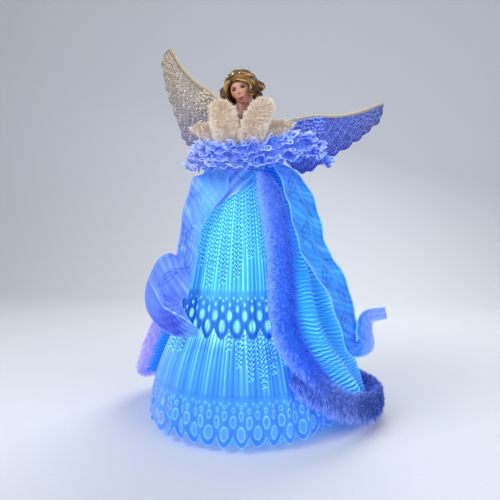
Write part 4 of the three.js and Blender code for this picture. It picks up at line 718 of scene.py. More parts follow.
def furRoll(name, node, at, side, halfWide, halfDeep, plan, finish, slot):
    plan = {**furHair, **plan}
    pick = np.random.default_rng(plan["seed"])
    at, count = np.asarray(at, float), len(at)
    halfWide, halfDeep = (np.broadcast_to(half, count).astype(float) for half in (halfWide, halfDeep))
    along = unit(np.gradient(at, axis=0))
    side = np.broadcast_to(side, at.shape)
    side = unit(side - (side * along).sum(1, keepdims=True) * along)
    out = np.cross(along, side)
    length = lengthAlong(at)

    def spot(s, turnAt, grow):  # a place on the oval at a share of its size
        look = lambda a: np.stack([np.interp(s, length, a[:, k]) for k in range(3)], 1)
        w, d = np.interp(s, length, halfWide), np.interp(s, length, halfDeep)
        grown = look(side) * (w * np.cos(turnAt) * grow)[:, None] + look(out) * (d * np.sin(turnAt) * grow)[:, None]
        return look(at) + grown, look(along)

    rows, sides = max(24, int(length[-1] / 3)), 28
    s, a = np.meshgrid(np.linspace(0, length[-1], rows), np.linspace(0, 2 * math.pi, sides), indexing="ij")
    blunt = plan["taper"]
    taper = np.minimum(1, np.sqrt(np.minimum(s, length[-1] - s) / (blunt + 1) + 0.02))
    lumps = 0.62 + 0.05 * np.sin(s / 2.3 + 3 * np.sin(a * 3)) + 0.04 * np.sin(a * 5 + s / 3.1)
    corePoints = spot(s.ravel(), a.ravel(), (taper * lumps).ravel())[0]
    coreFaces = gridFaces(rows, sides)

    n = plan["hairs"]
    s, a = pick.uniform(0, length[-1], n), pick.uniform(0, 2 * math.pi, n)
    perimeter = 2 * math.pi * np.interp(s, length, (halfWide + halfDeep) / 2)
    tuft = (np.floor(s / plan["tuft"] + 0.5 * np.sin(7 * a)).astype(int) * 7919
            + np.floor(a / (2 * math.pi) * perimeter / plan["tuft"]).astype(int) * 104729) % tuftKinds
    lean = pick.normal(0, 1, (tuftKinds, 3))[tuft] * plan["lean"]
    shade = pick.normal(0, 0.1, tuftKinds)[tuft] + pick.normal(0, 0.07, n)
    endTaper = np.minimum(1, np.sqrt(np.minimum(s, length[-1] - s) / blunt + 0.1))
    root, alongAt = spot(s, a, 0.58 * endTaper)
    tip = spot(s, a, endTaper * pick.uniform(0.95, 1.12, n))[0]
    shade = shade - plan["turned"] * unit(tip - root)[:, 0]  # its far side lies out of the lamps' light
    ends = (1 - endTaper)[:, None] * alongAt * np.where(s < length[-1] / 2, -1, 1)[:, None] * 5
    tip = tip + ends + lean + pick.normal(0, 0.5, (n, 3)) + np.array(plan["lay"])
    grow = tip - root
    wide = unit(np.cross(grow, pick.normal(0, 1, (n, 3)))) * plan["hair"] / 2
    sag = np.array([0, 0, -1.0]) * plan["sag"]
    level = [root, root + grow * 0.42 + lean * -0.12, root + grow * 0.76 + sag * 0.4, root + grow + sag]
    hair = np.stack([level[0] - wide, level[0] + wide, level[1] - wide, level[1] + wide,
                     level[2] - wide * 0.6, level[2] + wide * 0.6, level[3]], 1)
    base = len(corePoints) + np.arange(n)[:, None] * 7
    quads = np.concatenate([base + [0, 1, 3, 2], base + [2, 3, 5, 4]])
    # painted shade deep in the pile: each hair darker towards its root, and the core under the hairs dark too
    levelTone = np.array([plan["root"], plan["root"], 0.6, 0.6, 0.85, 0.85, 1.0])
    tone = np.clip(levelTone + shade[:, None], 0.05, 1.1).ravel()
    tone = np.concatenate([np.full(len(corePoints), 0.3), tone])
    cells = math.ceil(math.sqrt(n))
    corner = np.array([[0.2, 0.1], [0.8, 0.1], [0.2, 0.4], [0.8, 0.4], [0.3, 0.7], [0.7, 0.7], [0.5, 0.9]])
    slotAt = np.stack([np.arange(n) % cells, np.arange(n) // cells], 1)[:, None]
    uv = ((slotAt + corner) / cells).reshape(-1, 2) * [1, 0.9]
    uv = np.vstack([gridUv(rows, sides) * [1, 0.09] + [0, 0.91], uv])
    piece = makePiece(name, np.vstack([corePoints, hair.reshape(-1, 3)]),
                      [np.vstack([coreFaces, quads]), base + [4, 5, 6]], finish, slot=slot, tone=tone, uv=uv)
    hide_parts(node)


furPlan = {"lift": 7.65, "halfWide": 14, "halfDeep": 7, "hemHalf": 16, "hemMiddle": 22, "frontLow": 40,
           "frontEnd": 66.05, "overhang": 3, "turnUp": 30, "turnShare": 0.08, "tuck": 7}
frontHair = {"hairs": 24000, "tuft": 2.6, "lean": 0.8, "hair": 0.36, "sag": 0.9, "lay": (0, 0, -1.4)}
fronts = {"left": {"edge": 0, "top": 276, "seed": 11, "root": 0.45, "turned": 0.42, "taper": 24, "finish": furFront},
          "right": {"edge": 1, "top": 217.4, "seed": 12, "root": 0.6, "turned": 0.1, "finish": furPale}}
for name, plan in fronts.items():
    edge = plan["edge"]
    z = np.linspace(plan["top"], furPlan["frontLow"], 60)
    fuller = 1.0 if edge else 1 + 0.22 * smooth(z, 70, 120) * smooth(z, 275, 215)
    at = cloakAt(float(edge), z, furPlan["lift"])
    side = (cloakAt(abs(edge - 0.02), z, furPlan["lift"]) - at) * (-1 if edge else 1)
    furRoll(f"furFront.{name}", f"fur_front_{name}", at, side, furPlan["halfWide"] * fuller, furPlan["halfDeep"],
            {**frontHair, **plan}, plan["finish"], "white_fur")
u = np.linspace(0, 1, 150)
fromEnd = np.minimum(u, 1 - u)
turnUp = furPlan["turnUp"] * smooth(u, furPlan["turnShare"], 0)  # its left end climbs into the front band
z = furPlan["hemMiddle"] + cloakRise(0.7 * fromEnd) + turnUp
ends = cloakEdges(cloakFall(furPlan["frontEnd"] + turnUp))
degrees = lerp(ends[0] - furPlan["overhang"], 360 - ends[1] + furPlan["overhang"], u)
room = cloakPlan["foldDepth"] * smooth(fromEnd, 0, 0.13)
tuck = furPlan["tuck"] * turnUp / furPlan["turnUp"]
reach = cloakReach(degrees, z) + room + furPlan["lift"] + 2.1 - tuck
furRoll("furHem", "fur_hem", polar(reach, degrees, z), (0, 0, 1.0), furPlan["hemHalf"], furPlan["halfDeep"],
        {"seed": 21, "hairs": 42000, "tuft": 3.0, "hair": 0.42, "lay": (0, 0, -1), "turned": 0.15, "taper": 18},
        furHemFinish, "white_fur")
lapelPlan = {"size": 14.8, "right": 1.07, "shift": 4, "swell": [0.66, 0.76, 0.9, 1, 1.06, 1, 0.9], "line": [
    [3, 22, 352], [16.1, 13, 352], [22.6, -5, 352], [21, -24, 347], [16.4, -37, 333], [12.4, -43, 316], [10, -44, 306]]}
sleevePlan = {"size": 11.4, "from": (21.5, -3, 327), "run": (34, -6, 5)}
for side, name in ((1, "left"), (-1, "right")):
    lapel = np.array(lapelPlan["line"], float)
    wider = lapelPlan["right"] if side < 0 else 1
    lapel[:, 0] = side * lapel[:, 0] * wider + lapelPlan["shift"] * smooth(-lapel[:, 1], 0, 26)
    share = np.linspace(0, 1, 50)
    swell = np.interp(share, np.linspace(0, 1, 7), lapelPlan["swell"])
    size = lapelPlan["size"] * swell * np.sin(math.pi * lerp(0.16, 0.74, share)) ** 0.5
    furRoll(f"furCollar.{name}", f"fur_collar_{name}", throughPoints(lapel, 50), (side, 0, 0.6), size, 0.85 * size,
            {"seed": 31 + side, "hairs": 17000, "lay": (0, -0.5, -1)}, furIvory, "ivory_fur")
    share = np.linspace(0, 1, 24)
    size = sleevePlan["size"] * np.sin(math.pi * lerp(0.4, 0.95, share)) ** 0.55
    arm = (np.array(sleevePlan["from"]) + share[:, None] * np.array(sleevePlan["run"])) * [side, 1, 1]
    furRoll(f"furSleeve.{name}", f"fur_sleeve_{name}", arm, (0, 0, 1.0), size, 0.9 * size,
            {"seed": 41 + side, "hairs": 9000, "lean": 1.3, "lay": (0, -0.3, -0.6)}, furIvory, "ivory_fur")
print("fur made")


# Lace collar: a gathered ruffle of cut-work lace with looped frills sewn on, spread wide over the left arm
collarPlan = {"end": 104, "top": 302, "ridge": 311, "ridgeReach": 52, "hem": 277, "hemReach": 66, "spread": 30,
              "waves": 12, "waveDepth": 5, "loopWide": 4.0, "loopDeep": 4.6, "raised": 9, "seat": 2.35}
# Scallops of each lace, in millimetres
loopLace = {"point": 2, "edge": 0.9}
groundLace = {"pitch": 12.0, "per": 24, "count": 34, "step": 0.75, "lobe": 5.0, "lobeShare": 0.3, **loopLace, "holes": [
    (0.5, 8.0, 2.2, 3.0), (0.0, 14.5, 1.4, 2.4), (0.3, 18.0, 0.9, 1.2), (0.7, 18.0, 0.9, 1.2), (0.5, 22.5, 1.4, 1.9),
    (0.0, 27.0, 1.0, 1.4), (0.5, 32.0, 0.9, 1.1)]}
frillLace = {"pitch": 7.0, "per": 16, "count": 62, "step": 0.6, "lobe": 2.4, "lobeShare": 1.0, **loopLace,
             "holes": [(0.5, 3.6, 1.5, 1.6), (0.0, 6.6, 0.9, 1.1)]}


def collarAt(u, v, phase=0.0):  # the ruffle's own surface
    plan = collarPlan
    degrees = lerp(-plan["end"], plan["end"], u)
    spread, drawn = smooth(degrees, 15, 75), smooth(-degrees, 30, 80)
    before = 1 - smooth(np.abs(degrees), 25, 60)
    ragged = 1.5 * np.sin(2 * math.pi * 9 * u + phase) + 1.0 * np.sin(2 * math.pi * 23 * u + 2 * phase)
    top, high = plan["top"] - 6 * before, plan["ridge"] - 6 * before + ragged + plan["raised"] * spread
    low = plan["hem"] + 12 * spread + 13 * drawn
    seat = cloakReach(degrees, top) + plan["seat"]
    ridge = plan["ridgeReach"] + 0.7 * plan["spread"] * spread - 6 * drawn
    hem = plan["hemReach"] + plan["spread"] * spread - 13 * drawn
    wave = plan["waveDepth"] * v * np.sin(2 * math.pi * plan["waves"] * u + phase)
    rising = v < 0.5
    share = np.where(rising, 2 * v, 2 * v - 1)
    reach = np.where(rising, lerp(seat, ridge, share), lerp(ridge, hem, share))
    height = np.where(rising, lerp(top, high, np.sqrt(np.clip(share, 0, 1))),
                      lerp(high, low, np.clip(share, 0, 1.2) ** 1.3))
    return polar(reach + 0.6 * wave, degrees, height + 0.3 * wave)


def frillAt(u, h, rim, sewn, wide, loops, phase):  # a strip sewn on the ruffle, thrown into loops
    w = np.clip(1 - h / wide, 0, 1.1)
    root = collarAt(u, np.full_like(u, sewn), phase)
    below = collarAt(u, np.full_like(u, min(sewn + 0.06, 1.0)), phase)
    around = unit(collarAt(u + 0.002, np.full_like(u, sewn)) - collarAt(u - 0.002, np.full_like(u, sewn)))
    radial = polar(np.ones_like(u), lerp(-collarPlan["end"], collarPlan["end"], u), 0.0)
    fallTo = unit(0.6 * unit(below - root + 1e-6) + 0.75 * radial)
    over = unit(np.cross(fallTo, around))
    over = over * np.sign(over[..., 2:3] + 1e-9)
    circuit = 2 * math.pi * u
    angle = loops * circuit + phase + 1.5 * np.sin(5 * circuit + phase) + 0.9 * np.sin(13 * circuit + 2 * phase)
    uneven = 0.85 + 0.35 * np.sin(7 * circuit + 3 * phase) * np.sin(4 * circuit + phase)
    swing = collarPlan["loopDeep"] * uneven * w**1.1 * np.sin(angle)
    aside = collarPlan["loopWide"] * uneven * w**1.1 * np.sin(2 * angle)
    points = root + fallTo * (w * wide * uneven)[..., None]
    points = points + over * (swing + 0.5 * rim)[..., None] + around * aside[..., None]
    # tone: painted highlight on the loops' outer swing, towards the strip's edge and on the eyelets' rims
    return points, toned(0.36 + 0.1 * swing + 0.25 * w + 0.55 * rim)


frills = [  # name, where it is sewn on, width, loops, phase
    ("laceCollar", 0.0, 60.0, 0, 0.0), ("laceFrill.1", 0.4, 11, 21, 0.4), ("laceFrill.2", 0.53, 12, 18, 2.1),
    ("laceFrill.3", 0.66, 13, 20, 4.0), ("laceFrill.4", 0.79, 13, 17, 5.3), ("laceFrill.5", 0.91, 12, 19, 1.2)]
for name, sewn, wide, loops, phase in frills:
    kind = frillLace if loops else groundLace
    kind = {**kind, "lobeHigh": kind["lobeShare"] * wide, "edgeHigh": wide / 3}
    s, h, gone, rim = laceGrid(np.arange(wide, -0.01, -kind["step"]), kind)
    u = s / (kind["pitch"] * kind["count"])
    if loops:
        points, tone = frillAt(u, h, rim, sewn, wide, loops, phase)
    else:
        # tone: a painted highlight on the eyelets' rims
        points, tone = collarAt(u, np.clip(1 - h / wide, 0, 1.05)), toned(0.3 + 0.35 * rim)
    faces = gridFaces(*s.shape)[~gone.ravel()]
    faces, (points, tone, uv) = keepUsed(faces, points.reshape(-1, 3), tone.ravel(), gridUv(*s.shape))
    ruffle = makePiece(name, points, faces, laceCollarFinish, slot="eyelet_lace", tone=tone, uv=uv)
    if not loops:
        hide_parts("lace_collar")
print("lace collar made")


# Sashes: wired ribbon, the left one from under the collar and the right one from the waistband, with curled ends
sashes = {  # share of the cloak's reach, angle, share of its fall, share of the width, facing
    "left": {"finish": ribbonLeft, "wire": 1.0, "gather": 0.16, "fold": [(0, 2.0), (13, 2.0)], "line": [
        [1 + 1.8 / float(cloakReach(68, 292)), 68, 0.073, 0.4, 68], [1.211, 68, 0.126, 0.8, 62],
        [1.219, 68, 0.205, 0.96, 58], [1.21, 68, 0.298, 0.96, 56], [1.188, 68, 0.384, 0.9, 56],
        [1.254, 68, 0.444, 0.82, 56], [1.338, 69, 0.51, 0.74, 56], [1.327, 70, 0.589, 0.64, 54],
        [1.303, 71, 0.662, 0.52, 50], [1.291, 72, 0.725, 0.42, 40], [1.365, 74, 0.719, 0.4, 20],
        [1.41, 75, 0.672, 0.34, 12], [1.475, 77, 0.628, 0.29, 10], [1.672, 80, 0.612, 0.23, 10]]},
    "right": {"finish": ribbonRight, "wire": 0.75, "gather": 0.4,
              "fold": [(7.6, 1.1), (8.6, 0.45), (9.6, -0.1), (12, -1.1)], "line": [
        [(band["reach"] + 0.95) / float(cloakReach(-33, 286.85)), -33, 0.0899, 0.4, -33], [0.94, -34, 0.162, 0.91, -18],
        [0.986, -38, 0.217, 0.82, -25], [1.027, -41, 0.272, 0.74, -32], [1.021, -42.6, 0.325, 0.68, -34],
        [1.017, -41.7, 0.377, 0.62, -32], [1.061, -39, 0.424, 0.6, -22], [1.14, -42, 0.47, 0.95, -14],
        [1.169, -43, 0.523, 1, -12], [1.149, -42, 0.576, 0.95, -12], [1.097, -36, 0.619, 0.7, -12],
        [1.052, -27, 0.646, 0.42, -12], [1.017, -18, 0.662, 0.12, -12]]}}
ribbonPlan = {"width": 50, "rows": 320, "columns": 65, "motif": 26, "wire": 0.6}
for name, plan in sashes.items():
    line = np.array(plan["line"], float)
    rows, columns = ribbonPlan["rows"], ribbonPlan["columns"]
    z = lerp(cloakPlan["top"], cloakPlan["hem"], line[:, 2])
    middleLine = throughPoints(polar(line[:, 0] * cloakReach(line[:, 1], z), line[:, 1], z), rows)
    place = np.linspace(0, len(line) - 1, rows)
    half = ribbonPlan["width"] / 2 * np.interp(place, range(len(line)), line[:, 3])
    facing = np.interp(place, range(len(line)), line[:, 4])
    along = unit(np.gradient(middleLine, axis=0))
    out = polar(np.ones(rows), facing, 0.0)
    out = unit(out - (out * along).sum(1, keepdims=True) * along)
    side = np.cross(along, out)
    k = np.linspace(-1, 1, columns)
    b = k * half[:, None]  # millimetres off the middle
    a = lengthAlong(middleLine)[:, None] + 0 * b
    halfAt = half[:, None]
    ripple = np.sin(a / 5.2 + 0.09 * b)
    flute = 0.06 * halfAt * np.cos(2 * math.pi * k) + 0.7 * ripple * np.abs(k) ** 1.5
    narrow = smooth(1 - half / half.max(), 0.1, 0.6)[:, None]
    gather = plan["gather"] * np.sin(b * 1.5 + 2 * np.sin(a / 21)) * narrow
    motif = ribbonPlan["motif"]
    turnAt = 0.7 * np.where((a // motif) % 2, 1, -1)
    leafAlong, leafAcross = (a % motif) - motif / 2, b - 6 * np.sign(turnAt)
    leafX = leafAlong * np.cos(turnAt) + leafAcross * np.sin(turnAt)
    leafY = -leafAlong * np.sin(turnAt) + leafAcross * np.cos(turnAt)
    leaf = np.hypot(leafX / 12.5, leafY / (5.5 * (1 - 0.04 * np.abs(leafX))))
    veins = bell(np.sin(leafX * 0.8 - np.abs(leafY) * 0.9), 0.35) * (leaf < 0.9) * 0.5
    stem = bell(b + 9 * np.sin(a * 2 * math.pi / motif / 2), 0.7) * 0.9
    drawn = np.maximum.reduce([bell(leaf - 1, 0.08), bell(leafY, 0.7) * (leaf < 1) * 0.8, veins, stem])
    net = np.sin(a * 2.1 + b * 1.3) * np.sin(a * 1.7 - b * 1.9) + 0.7 * np.sin(a * 0.7 + b * 0.45 + 2 * np.sin(a / 7))
    foldAt = np.interp(place, *zip(*plan["fold"]))[:, None]  # where the loop shows its inner face
    turned = smooth(k - foldAt, -0.03, 0.03) * np.ones_like(b)
    crisp = bell((k - foldAt) * halfAt, 0.9) * (np.abs(foldAt) < 1)
    hemLine = bell(np.abs(b) - halfAt + 3.2, 0.7)
    lift = flute + gather + 0.3 * np.maximum(drawn, hemLine)
    points = middleLine[:, None] + side[:, None] * b[..., None] + out[:, None] * lift[..., None]
    # tone: painted shade and highlight over the gathers and ripples, darker along its hem; the loop's inner face
    # painted darker as shade, with a painted highlight along its fold; the drawn leaves and the net are the ribbon's
    # pattern
    tone = 0.62 + 0.5 * gather + 0.2 * ripple * np.abs(k) - 0.56 * drawn - 0.24 * hemLine + 0.17 * net
    tone = toned(tone - 0.3 * turned + 0.6 * crisp)
    edges = tubes([points[:, 0], points[:, -1]], ribbonPlan["wire"], 6)
    joined, faces, tones = bundle([(points, gridFaces(rows, columns), tone.ravel()), (*edges, plan["wire"])])
    uv = np.vstack([gridUv(rows, columns) * [0.95, 1], np.full((len(edges[0]), 2), 0.975)])
    ribbon = makePiece(f"sash.{name}", joined, faces, plan["finish"], slot="sash_ribbon", tone=tones, uv=uv)
    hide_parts(f"sash_{name}")
print("sashes made")


# Wings: quilted satin panels with rows of stitched feathers, beads and a twisted rim
wingPlan = {"hingeX": 18, "hingeZ": 324, "front": 46.0, "thick": 2.6, "grow": 147 / 148, "chord": 0.92, "tips": 11,
            "tip": 3.0, "edgePoints": 200, "root": (33, 43)}
wingSides = {
    "left": {"side": 1, "raise": 14, "cloth": wingLit, "bead": pearlLit, "disc": sequinLit, "seed": 51},
    "right": {"side": -1, "raise": 53, "cloth": wingPale, "bead": pearl, "disc": sequin, "seed": 52}}
featherRows = [  # from and to are shares of the way across the wing
    {"count": 13, "from": 0.34, "to": 1.0, "sweep": 0.16, "layer": 0, "wide": 1.25},
    {"count": 14, "from": 0.16, "to": 0.66, "sweep": 0.12, "layer": 1, "wide": 1.3},
    {"count": 17, "from": 0.04, "to": 0.38, "sweep": 0.07, "layer": 2, "wide": 1.35}]
upperEdge = [[11, 9], [24, 15], [46, 15], [70, 12], [82, 8], [95, 4], [110, 2], [127, 2], [148, 5]]
lowerEdge = [[11, -9], [20, -30], [33, -52], [46, -54], [62, -48], [77, -43], [98, -36], [114, -29], [128, -21],
             [141, -13], [148, 5]]
wingScale = wingPlan["grow"] * np.array([1, wingPlan["chord"]])
upperEdge, lowerEdge = [throughPoints(edge, wingPlan["edgePoints"]) * wingScale for edge in (upperEdge, lowerEdge)]
pearlRows = [(0.02, 16), (0.1, 14), (0.18, 12), (0.26, 9), (0.34, 6)]  # place across the wing, pearls
wingWork = {"stitch": (1.25, 0.6), "cordGap": 0.0145, "cord": 0.42, "sequins": 16, "sequin": (1.15, 0.3, 1.15),
            "sequinOff": 2.3, "pearl": (1.25, 0.8, 0.95), "pearlOff": 2.6}
fanPlan = {"at": (0.2, 0.3), "from": 1.5, "reach": 19, "pleats": 13, "middle": -62, "half": 66, "off": 1.9, "deep": 0.6}
rimPlan = {"off": 2.05, "lay": 6.5, "ply": 0.8, "strand": 0.85, "strands": 3, "short": 3}


def onWing(t, c):  # flat place: t from root to tip, c from the upper to the lower edge
    last = wingPlan["edgePoints"] - 1
    place = np.clip(t, 0, 1) * last
    look = lambda e: np.stack([np.interp(place, np.arange(last + 1), e[:, k]) for k in (0, 1)], -1)
    top, low = look(upperEdge), look(lowerEdge)
    lobe = np.abs(np.sin(math.pi * wingPlan["tips"] * np.clip(t, 0, 1))) - 0.6
    longer = wingPlan["tip"] * lobe * smooth(c, 0.7, 1) * smooth(1 - t, 0, 0.1)
    return lerp(top, low, np.asarray(c)[..., None]) + unit(low - top + 1e-6) * longer[..., None]


def pastRoot(flat):  # nothing is raised near the hinge
    return smooth(flat[..., 0], *wingPlan["root"])


def wingPlace(flat, depth, plan):
    a = math.radians(plan["raise"])
    x, z = flat[..., 0], flat[..., 1]
    outward, upward = x * math.cos(a) - z * math.sin(a), x * math.sin(a) + z * math.cos(a)
    return np.stack([plan["side"] * (wingPlan["hingeX"] + outward), np.broadcast_to(depth, x.shape),
                     wingPlan["hingeZ"] + upward], -1)


ballRows, ballSides = 7, 10
fall, turn = np.meshgrid(np.linspace(0.02, math.pi - 0.02, ballRows), np.linspace(0, 2 * math.pi, ballSides),
                         indexing="ij")
ball = np.stack([np.sin(fall) * np.cos(turn), np.cos(fall), np.sin(fall) * np.sin(turn)], -1).reshape(-1, 3)


def beads(at, size):  # round or flattened beads, their short way along Y
    points = at[:, None] + ball * size[:, None]
    faces = gridFaces(ballRows, ballSides) + (np.arange(len(at)) * len(ball))[:, None, None]
    return points.reshape(-1, 3), faces.reshape(-1, 4)


def feather(row, k, face, plan):  # one feather and its herringbone stitches; face -1 in front, 1 behind
    tipAt, half = (k + 0.7) / row["count"], 0.5 * row["wide"] / row["count"]
    spine = lambda s: tipAt + row["sweep"] * (s - 1) * (0.4 + 0.6 * tipAt)
    down = lambda s: lerp(row["from"], row["to"], s)
    s, across = np.meshgrid(np.linspace(0, 1, 22), np.linspace(-1, 1, 9), indexing="ij")
    narrow = np.where(s < 0.78, 0.72 + 0.36 * s, np.sqrt(np.clip(1 - ((s - 0.78) / 0.22) ** 2, 0, 1)))
    flat = onWing(spine(s) + across * narrow * half, down(s))
    under = 0.55 * row["layer"] + 0.14 * (k % 2)
    crown = 0.55 * (1 - across**2) + 0.25 * bell(across, 0.14) + 0.15 * row["layer"] * s
    start = wingPlan["front"] + (wingPlan["thick"] if face > 0 else 0)
    points = wingPlace(flat, start + face * (0.15 + (under + crown) * pastRoot(flat)), plan)
    # barb stripes, darker towards each feather's edge as painted shade where the feathers overlap
    barbs = np.clip(0.5 + 0.2 * np.sin(s * 60 + 5 * np.abs(across)) - 0.55 * np.abs(across) ** 3, 0, 1)
    stitchAt = np.arange(0.06, 0.93, 0.045 if row["layer"] < 2 else 0.08)
    starts, ends = [], []
    for hand in (-1, 1):
        aside = 0.42 * hand * np.interp(stitchAt, s[:, 0], narrow[:, 0]) * half
        near = onWing(spine(stitchAt) + aside, down(stitchAt))
        far = onWing(spine(stitchAt) + 2 * aside, down(stitchAt + 0.05))
        level = start + face * (0.15 + (under + 0.5) * pastRoot(near))
        starts.append(wingPlace(near, level, plan))
        ends.append(wingPlace(far, level, plan))
    at = np.concatenate(starts)
    return (points, gridFaces(*s.shape), barbs.ravel()), at, np.concatenate(ends) - at


def sew(kind, name, points, faces, finish, **looks):
    return makePiece(f"{kind}.{name}", points, faces, finish, body=f"{name}_wing", slot="wing_satin", **looks)


for name, plan in wingSides.items():
    pick = np.random.default_rng(plan["seed"])
    front, core, cloth = wingPlan["front"], wingPlan["front"] + wingPlan["thick"] / 2, plan["cloth"]
    c, t = np.meshgrid(np.linspace(0, 1, 40), np.linspace(0, 1, 150), indexing="ij")
    flat, faces = onWing(t, c), gridFaces(*t.shape)
    rim = np.minimum(np.minimum(c, 1 - c) * 40, np.minimum(t, 1 - t) * 147)
    puff = wingPlan["thick"] / 2 * np.sqrt(np.clip(rim / 2.5, 0, 1))
    quilt = (0.6 + 0.2 * np.sin(t * 90 - c * 16)).ravel()
    panel = [(wingPlace(flat, core - puff, plan), faces, quilt),
             (wingPlace(flat, core + puff, plan), faces[:, ::-1], quilt)]
    coverts, stitchesAt, stitchesTo, facing = [], [], [], []
    for face, rows in ((-1, featherRows), (1, featherRows[:2])):
        for row in rows:
            for k in range(row["count"]):
                shape, at, to = feather(row, k, face, plan)
                (coverts if row["layer"] == 2 else panel).append(shape)
                stitchesAt.append(at + to / 2)
                stitchesTo.append(to)
                facing.append(np.full(len(to), face))
    for kind, node, shapes in (("wingPanel", "wing_panel", panel), ("wingCoverts", "wing_coverts", coverts)):
        points, faces, tone = bundle(shapes)
        made = sew(kind, name, points, faces, cloth, tone=tone)
        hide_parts(f"{node}_{name}")
    at, to = np.concatenate(stitchesAt), np.concatenate(stitchesTo)
    normal = np.zeros_like(at)
    normal[:, 1] = np.concatenate(facing)
    long = np.clip(np.linalg.norm(to, axis=1) * 1.5, 1.6, 4.2)
    points, faces = grains(at, to, normal, long, *wingWork["stitch"])
    # each stitch: painted shade at its foot, painted highlight along its top
    sew("wingStitches", name, points, faces, cloth, tone=np.tile([0.1, 0.0, 0.0, 0.1, 1.0, 1.15], len(at)))

    across = np.linspace(0.06, 0.93, 90)
    level = 0.75 + 0.5 * smooth(across, 0.68, 0.62) + 0.5 * smooth(across, 0.4, 0.34)  # over the feathers' layers
    squiggles = []
    for k, t in enumerate(np.arange(0.1, 0.96, wingWork["cordGap"])):
        zigzag = 0.0052 * np.sin(across * 62 * (1.1 - t) + 1.7 * k) + 0.004 * np.sin(across * 17 + k)
        flat = onWing(t + zigzag - 0.05 * across, across)
        squiggles.append(wingPlace(flat, front - 0.15 - level * pastRoot(flat) - 0.5, plan))
    points, faces = tubes(squiggles, wingWork["cord"], 5)
    glint = np.repeat(pick.uniform(0.55, 1.15, (len(squiggles), len(across))), 5)
    sew("wingSquiggles", name, points, faces, cloth, tone=glint)

    n = wingWork["sequins"]
    t, c = np.clip(pick.beta(1.3, 2.4, n) * 0.7 + 0.25, 0, 0.95), pick.uniform(0.3, 0.7, n)
    at = wingPlace(onWing(t, c), front - wingWork["sequinOff"], plan)
    points, faces = beads(at, np.tile(wingWork["sequin"], (n, 1)))
    sew("wingSequins", name, points, faces, plan["disc"])
    spots = np.array([(0.14 + 0.3 * (k + 0.5 * (many % 4)) / many, row + 0.012 * (k % 3), 1.9 - 0.25 * (k % 3))
                      for row, many in pearlRows for k in range(many)])  # a cluster along the leading edge
    at = wingPlace(onWing(spots[:, 0], spots[:, 1]), front - wingWork["pearlOff"], plan)
    points, faces = beads(at, spots[:, 2:3] * [wingWork["pearl"]])
    sew("wingPearls", name, points, faces, plan["bead"])

    r, fan = np.meshgrid(np.linspace(fanPlan["from"], fanPlan["reach"], 16), np.linspace(-1, 1, 97), indexing="ij")
    pleat = np.cos(fan * fanPlan["pleats"] * math.pi)
    sweepAt = np.radians(fanPlan["middle"] + fanPlan["half"] * fan)
    flat = onWing(*np.reshape(fanPlan["at"], (2, 1))) + np.stack([r * np.cos(sweepAt), r * np.sin(sweepAt)], -1)
    points = wingPlace(flat, front - fanPlan["off"] - fanPlan["deep"] * pleat * r / fanPlan["reach"], plan)
    # tone: painted shade and highlight across the fan's pleats
    made = sew("wingFan", name, points, gridFaces(*r.shape), cloth, tone=(0.55 - 0.5 * pleat).ravel(),
               uv=gridUv(*r.shape))

    outward = unit(np.stack([-np.gradient(upperEdge[:, 1]), np.gradient(upperEdge[:, 0])], 1))[:-rimPlan["short"]]
    rimLine = upperEdge[:-rimPlan["short"]] + outward * rimPlan["off"]
    cords = []
    for k in range(rimPlan["strands"]):
        twist = 2 * math.pi * (lengthAlong(rimLine) / rimPlan["lay"] + k / rimPlan["strands"])
        strand = rimLine + outward * (rimPlan["ply"] * np.cos(twist))[:, None]
        cords.append(wingPlace(strand, core + rimPlan["ply"] * np.sin(twist), plan))
    points, faces = tubes(cords, rimPlan["strand"], 7)
    rimPiece = makePiece(f"wingRim.{name}", points, faces, goldCord, body=f"{name}_wing", slot="gold_cord",
                         tone=np.full(len(points), 0.75))
    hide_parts(f"wing_rim_{name}")
print("wings made")


# Head: painted resin doll's head, turned to its right and bowed
headPlan = {"middle": (0, -4, 374.5), "halves": (13, 15, 17.5), "turn": -16, "nod": 12, "tilt": 12, "glance": 8,
            "eyes": 0.38, "rows": 130, "around": 190}
# Relief of the face: height, place across and up, half width and height; what is off the middle is there twice
faceRelief = [
    (1.0, 0, -0.04, 0.07, 0.19), (2.3, 0, -0.27, 0.085, 0.1), (0.7, 0.09, -0.32, 0.05, 0.05),  # nose
    (-1.5, headPlan["eyes"], 0.02, 0.19, 0.1), (0.9, headPlan["eyes"], 0.01, 0.13, 0.075),  # eyes
    (0.6, 0, 0.22, 0.45, 0.09), (0.5, 0.44, -0.27, 0.2, 0.18), (1.8, 0, -0.6, 0.34, 0.22),  # forehead, cheeks, mouth
    (0.8, 0, -0.565, 0.15, 0.035), (0.95, 0, -0.655, 0.12, 0.045), (-0.5, 0, -0.61, 0.17, 0.016),  # lips
    (2.4, 0, -0.86, 0.23, 0.13), (-0.4, 0, -0.74, 0.14, 0.05)]  # chin
neckPlan = {"heights": (344.4, 350, 368), "reach": (9, 7.4, 7.2), "rows": 14, "around": 41}


def spin(axis, degrees):
    c, s = math.cos(math.radians(degrees)), math.sin(math.radians(degrees))
    return {"X": np.array([[1, 0, 0], [0, c, -s], [0, s, c]]), "Y": np.array([[c, 0, s], [0, 1, 0], [-s, 0, c]]),
            "Z": np.array([[c, -s, 0], [s, c, 0], [0, 0, 1]])}[axis]


headSpin = spin("Z", headPlan["turn"]) @ spin("X", headPlan["nod"]) @ spin("Y", -headPlan["tilt"])
headMiddle = np.array(headPlan["middle"])
headPlace = lambda p: p @ headSpin.T + headMiddle


def towards(fall, turn):  # direction by the angles down from the crown and round from the face
    return np.stack([np.sin(fall) * np.sin(turn), -np.sin(fall) * np.cos(turn), np.cos(fall) + 0 * turn], -1)


def bumpAt(d, x, z, wide, high):
    return np.exp(-(((d[..., 0] - x) / wide) ** 2) - ((d[..., 2] - z) / high) ** 2)


